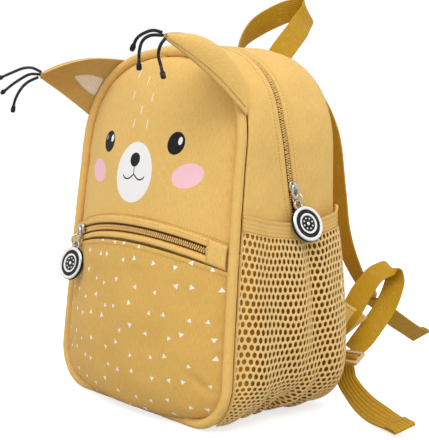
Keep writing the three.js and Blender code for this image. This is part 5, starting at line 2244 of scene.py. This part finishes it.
class BACKPACK_OT_camera(bpy.types.Operator):
    """Add the camera, a little to the right of the bag's front corner"""

    bl_idname = "backpack.camera"
    bl_label = "Camera"

    def execute(self, context):
        stage = context.scene.backpack_stage
        lens = bpy.data.cameras.new("camera")
        lens.lens = stage.lens
        lens.sensor_width = 36
        lens.clip_start = 0.01
        camera = bpy.data.objects.new("camera", lens)
        camera.location = CAMERA_PLACE
        camera.rotation_euler = (math.pi / 2 - stage.pitch, 0, stage.azimuth)
        context.scene.collection.objects.link(camera)
        context.scene.camera = camera
        return {"FINISHED"}


class BACKPACK_OT_stage(bpy.types.Operator):
    """Add the pale floor, the even studio light and the large lamps"""

    bl_idname = "backpack.stage"
    bl_label = "Stage and Lights"

    def execute(self, context):
        stage = context.scene.backpack_stage
        context.scene.view_settings.view_transform = "Standard"
        world = bpy.data.worlds.new("studio")
        world.use_nodes = True
        tree = world.node_tree
        tree.nodes["Background"].inputs["Color"].default_value = (1, 1, 1, 1)
        seen = put(tree, "ShaderNodeLightPath").outputs["Is Camera Ray"]
        glow = calc(tree, "MULTIPLY_ADD", seen, 1 - stage.sky, stage.sky)
        wire(tree, glow, tree.nodes["Background"].inputs["Strength"])
        context.scene.world = world

        reach = 4.0
        floor = bpy.data.meshes.new("floor")
        ends = ((-1, -1), (1, -1), (1, 1), (-1, 1))
        floor.from_pydata([(x * reach, y * reach, 0) for x, y in ends], [], [(0, 1, 2, 3)])
        material = bpy.data.materials.new("Pale floor")
        material.use_nodes = True
        tree = material.node_tree
        shader = tree.nodes["Principled BSDF"]
        shader.inputs["Roughness"].default_value = 0.9
        here = put(tree, "ShaderNodeTexCoord").outputs["Object"]
        cloud = put(tree, "ShaderNodeTexNoise", {"Vector": here, "Scale": 3.0})
        tone = blended(tree, cloud.outputs[0], (0.57, 0.57, 0.57, 1), (0.6, 0.6, 0.6, 1))
        wire(tree, tone, shader.inputs["Base Color"])
        seen = put(tree, "ShaderNodeLightPath").outputs["Is Camera Ray"]
        shader.inputs["Emission Color"].default_value = (1, 1, 1, 1)
        wire(tree, calc(tree, "MULTIPLY", seen, stage.floor_glow), shader.inputs["Emission Strength"])
        floor.materials.append(material)
        obj = bpy.data.objects.new("floor", floor)
        context.scene.collection.objects.link(obj)

        middle = Vector((0, 0, 0.15))
        for name, azimuth, height, size, share in (
            ("key", 72, 2.1, 1.2, 1.25),
            ("fill", 8, 2.4, 1.5, 1.35),
            ("rim", -120, 1.8, 1.4, 0.2),
        ):
            lamp = bpy.data.lights.new(name, "AREA")
            lamp.energy = stage.lamp * share
            lamp.size = size
            obj = bpy.data.objects.new(name, lamp)
            angle = math.radians(azimuth)
            obj.location = (LAMP_AWAY * math.sin(angle), -LAMP_AWAY * math.cos(angle), height)
            obj.rotation_euler = (middle - obj.location).to_track_quat("-Z", "Y").to_euler()
            context.scene.collection.objects.link(obj)
        return {"FINISHED"}


class BACKPACK_PT_panel(bpy.types.Panel):
    """The backpack's settings and steps"""

    bl_idname = "BACKPACK_PT_panel"
    bl_label = "Animal Backpack"
    bl_space_type = "VIEW_3D"
    bl_region_type = "UI"
    bl_category = "Backpack"

    def draw(self, context):
        layout = self.layout
        for group_name in SETTINGS:
            settings = getattr(context.scene, group_name)
            for key in settings.bl_rna.properties.keys():
                if key not in {"rna_type", "name"}:
                    layout.prop(settings, key)
        for operator in OPERATORS:
            layout.operator(operator.bl_idname)


SETTINGS = {
    "backpack_cloth": BackpackCloth,
    "backpack_net": BackpackNet,
    "backpack_stage": BackpackStage,
}
OPERATORS = (
    BACKPACK_OT_camera,
    BACKPACK_OT_cords,
    BACKPACK_OT_front,
    BACKPACK_OT_sides,
    BACKPACK_OT_back,
    BACKPACK_OT_zips,
    BACKPACK_OT_nets,
    BACKPACK_OT_ears,
    BACKPACK_OT_straps,
    BACKPACK_OT_pulls,
    BACKPACK_OT_stage,
)


def register():
    for kind in (*SETTINGS.values(), *OPERATORS, BACKPACK_PT_panel):
        bpy.utils.register_class(kind)
    for name, kind in SETTINGS.items():
        setattr(bpy.types.Scene, name, PointerProperty(type=kind))


def unregister():
    for name in SETTINGS:
        delattr(bpy.types.Scene, name)
    for kind in (BACKPACK_PT_panel, *OPERATORS[::-1], *SETTINGS.values()):
        bpy.utils.unregister_class(kind)


def main():
    register()
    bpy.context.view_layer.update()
    for operator in OPERATORS:
        family, step = operator.bl_idname.split(".")
        getattr(getattr(bpy.ops, family), step)()


if __name__ == "__main__":
    main()
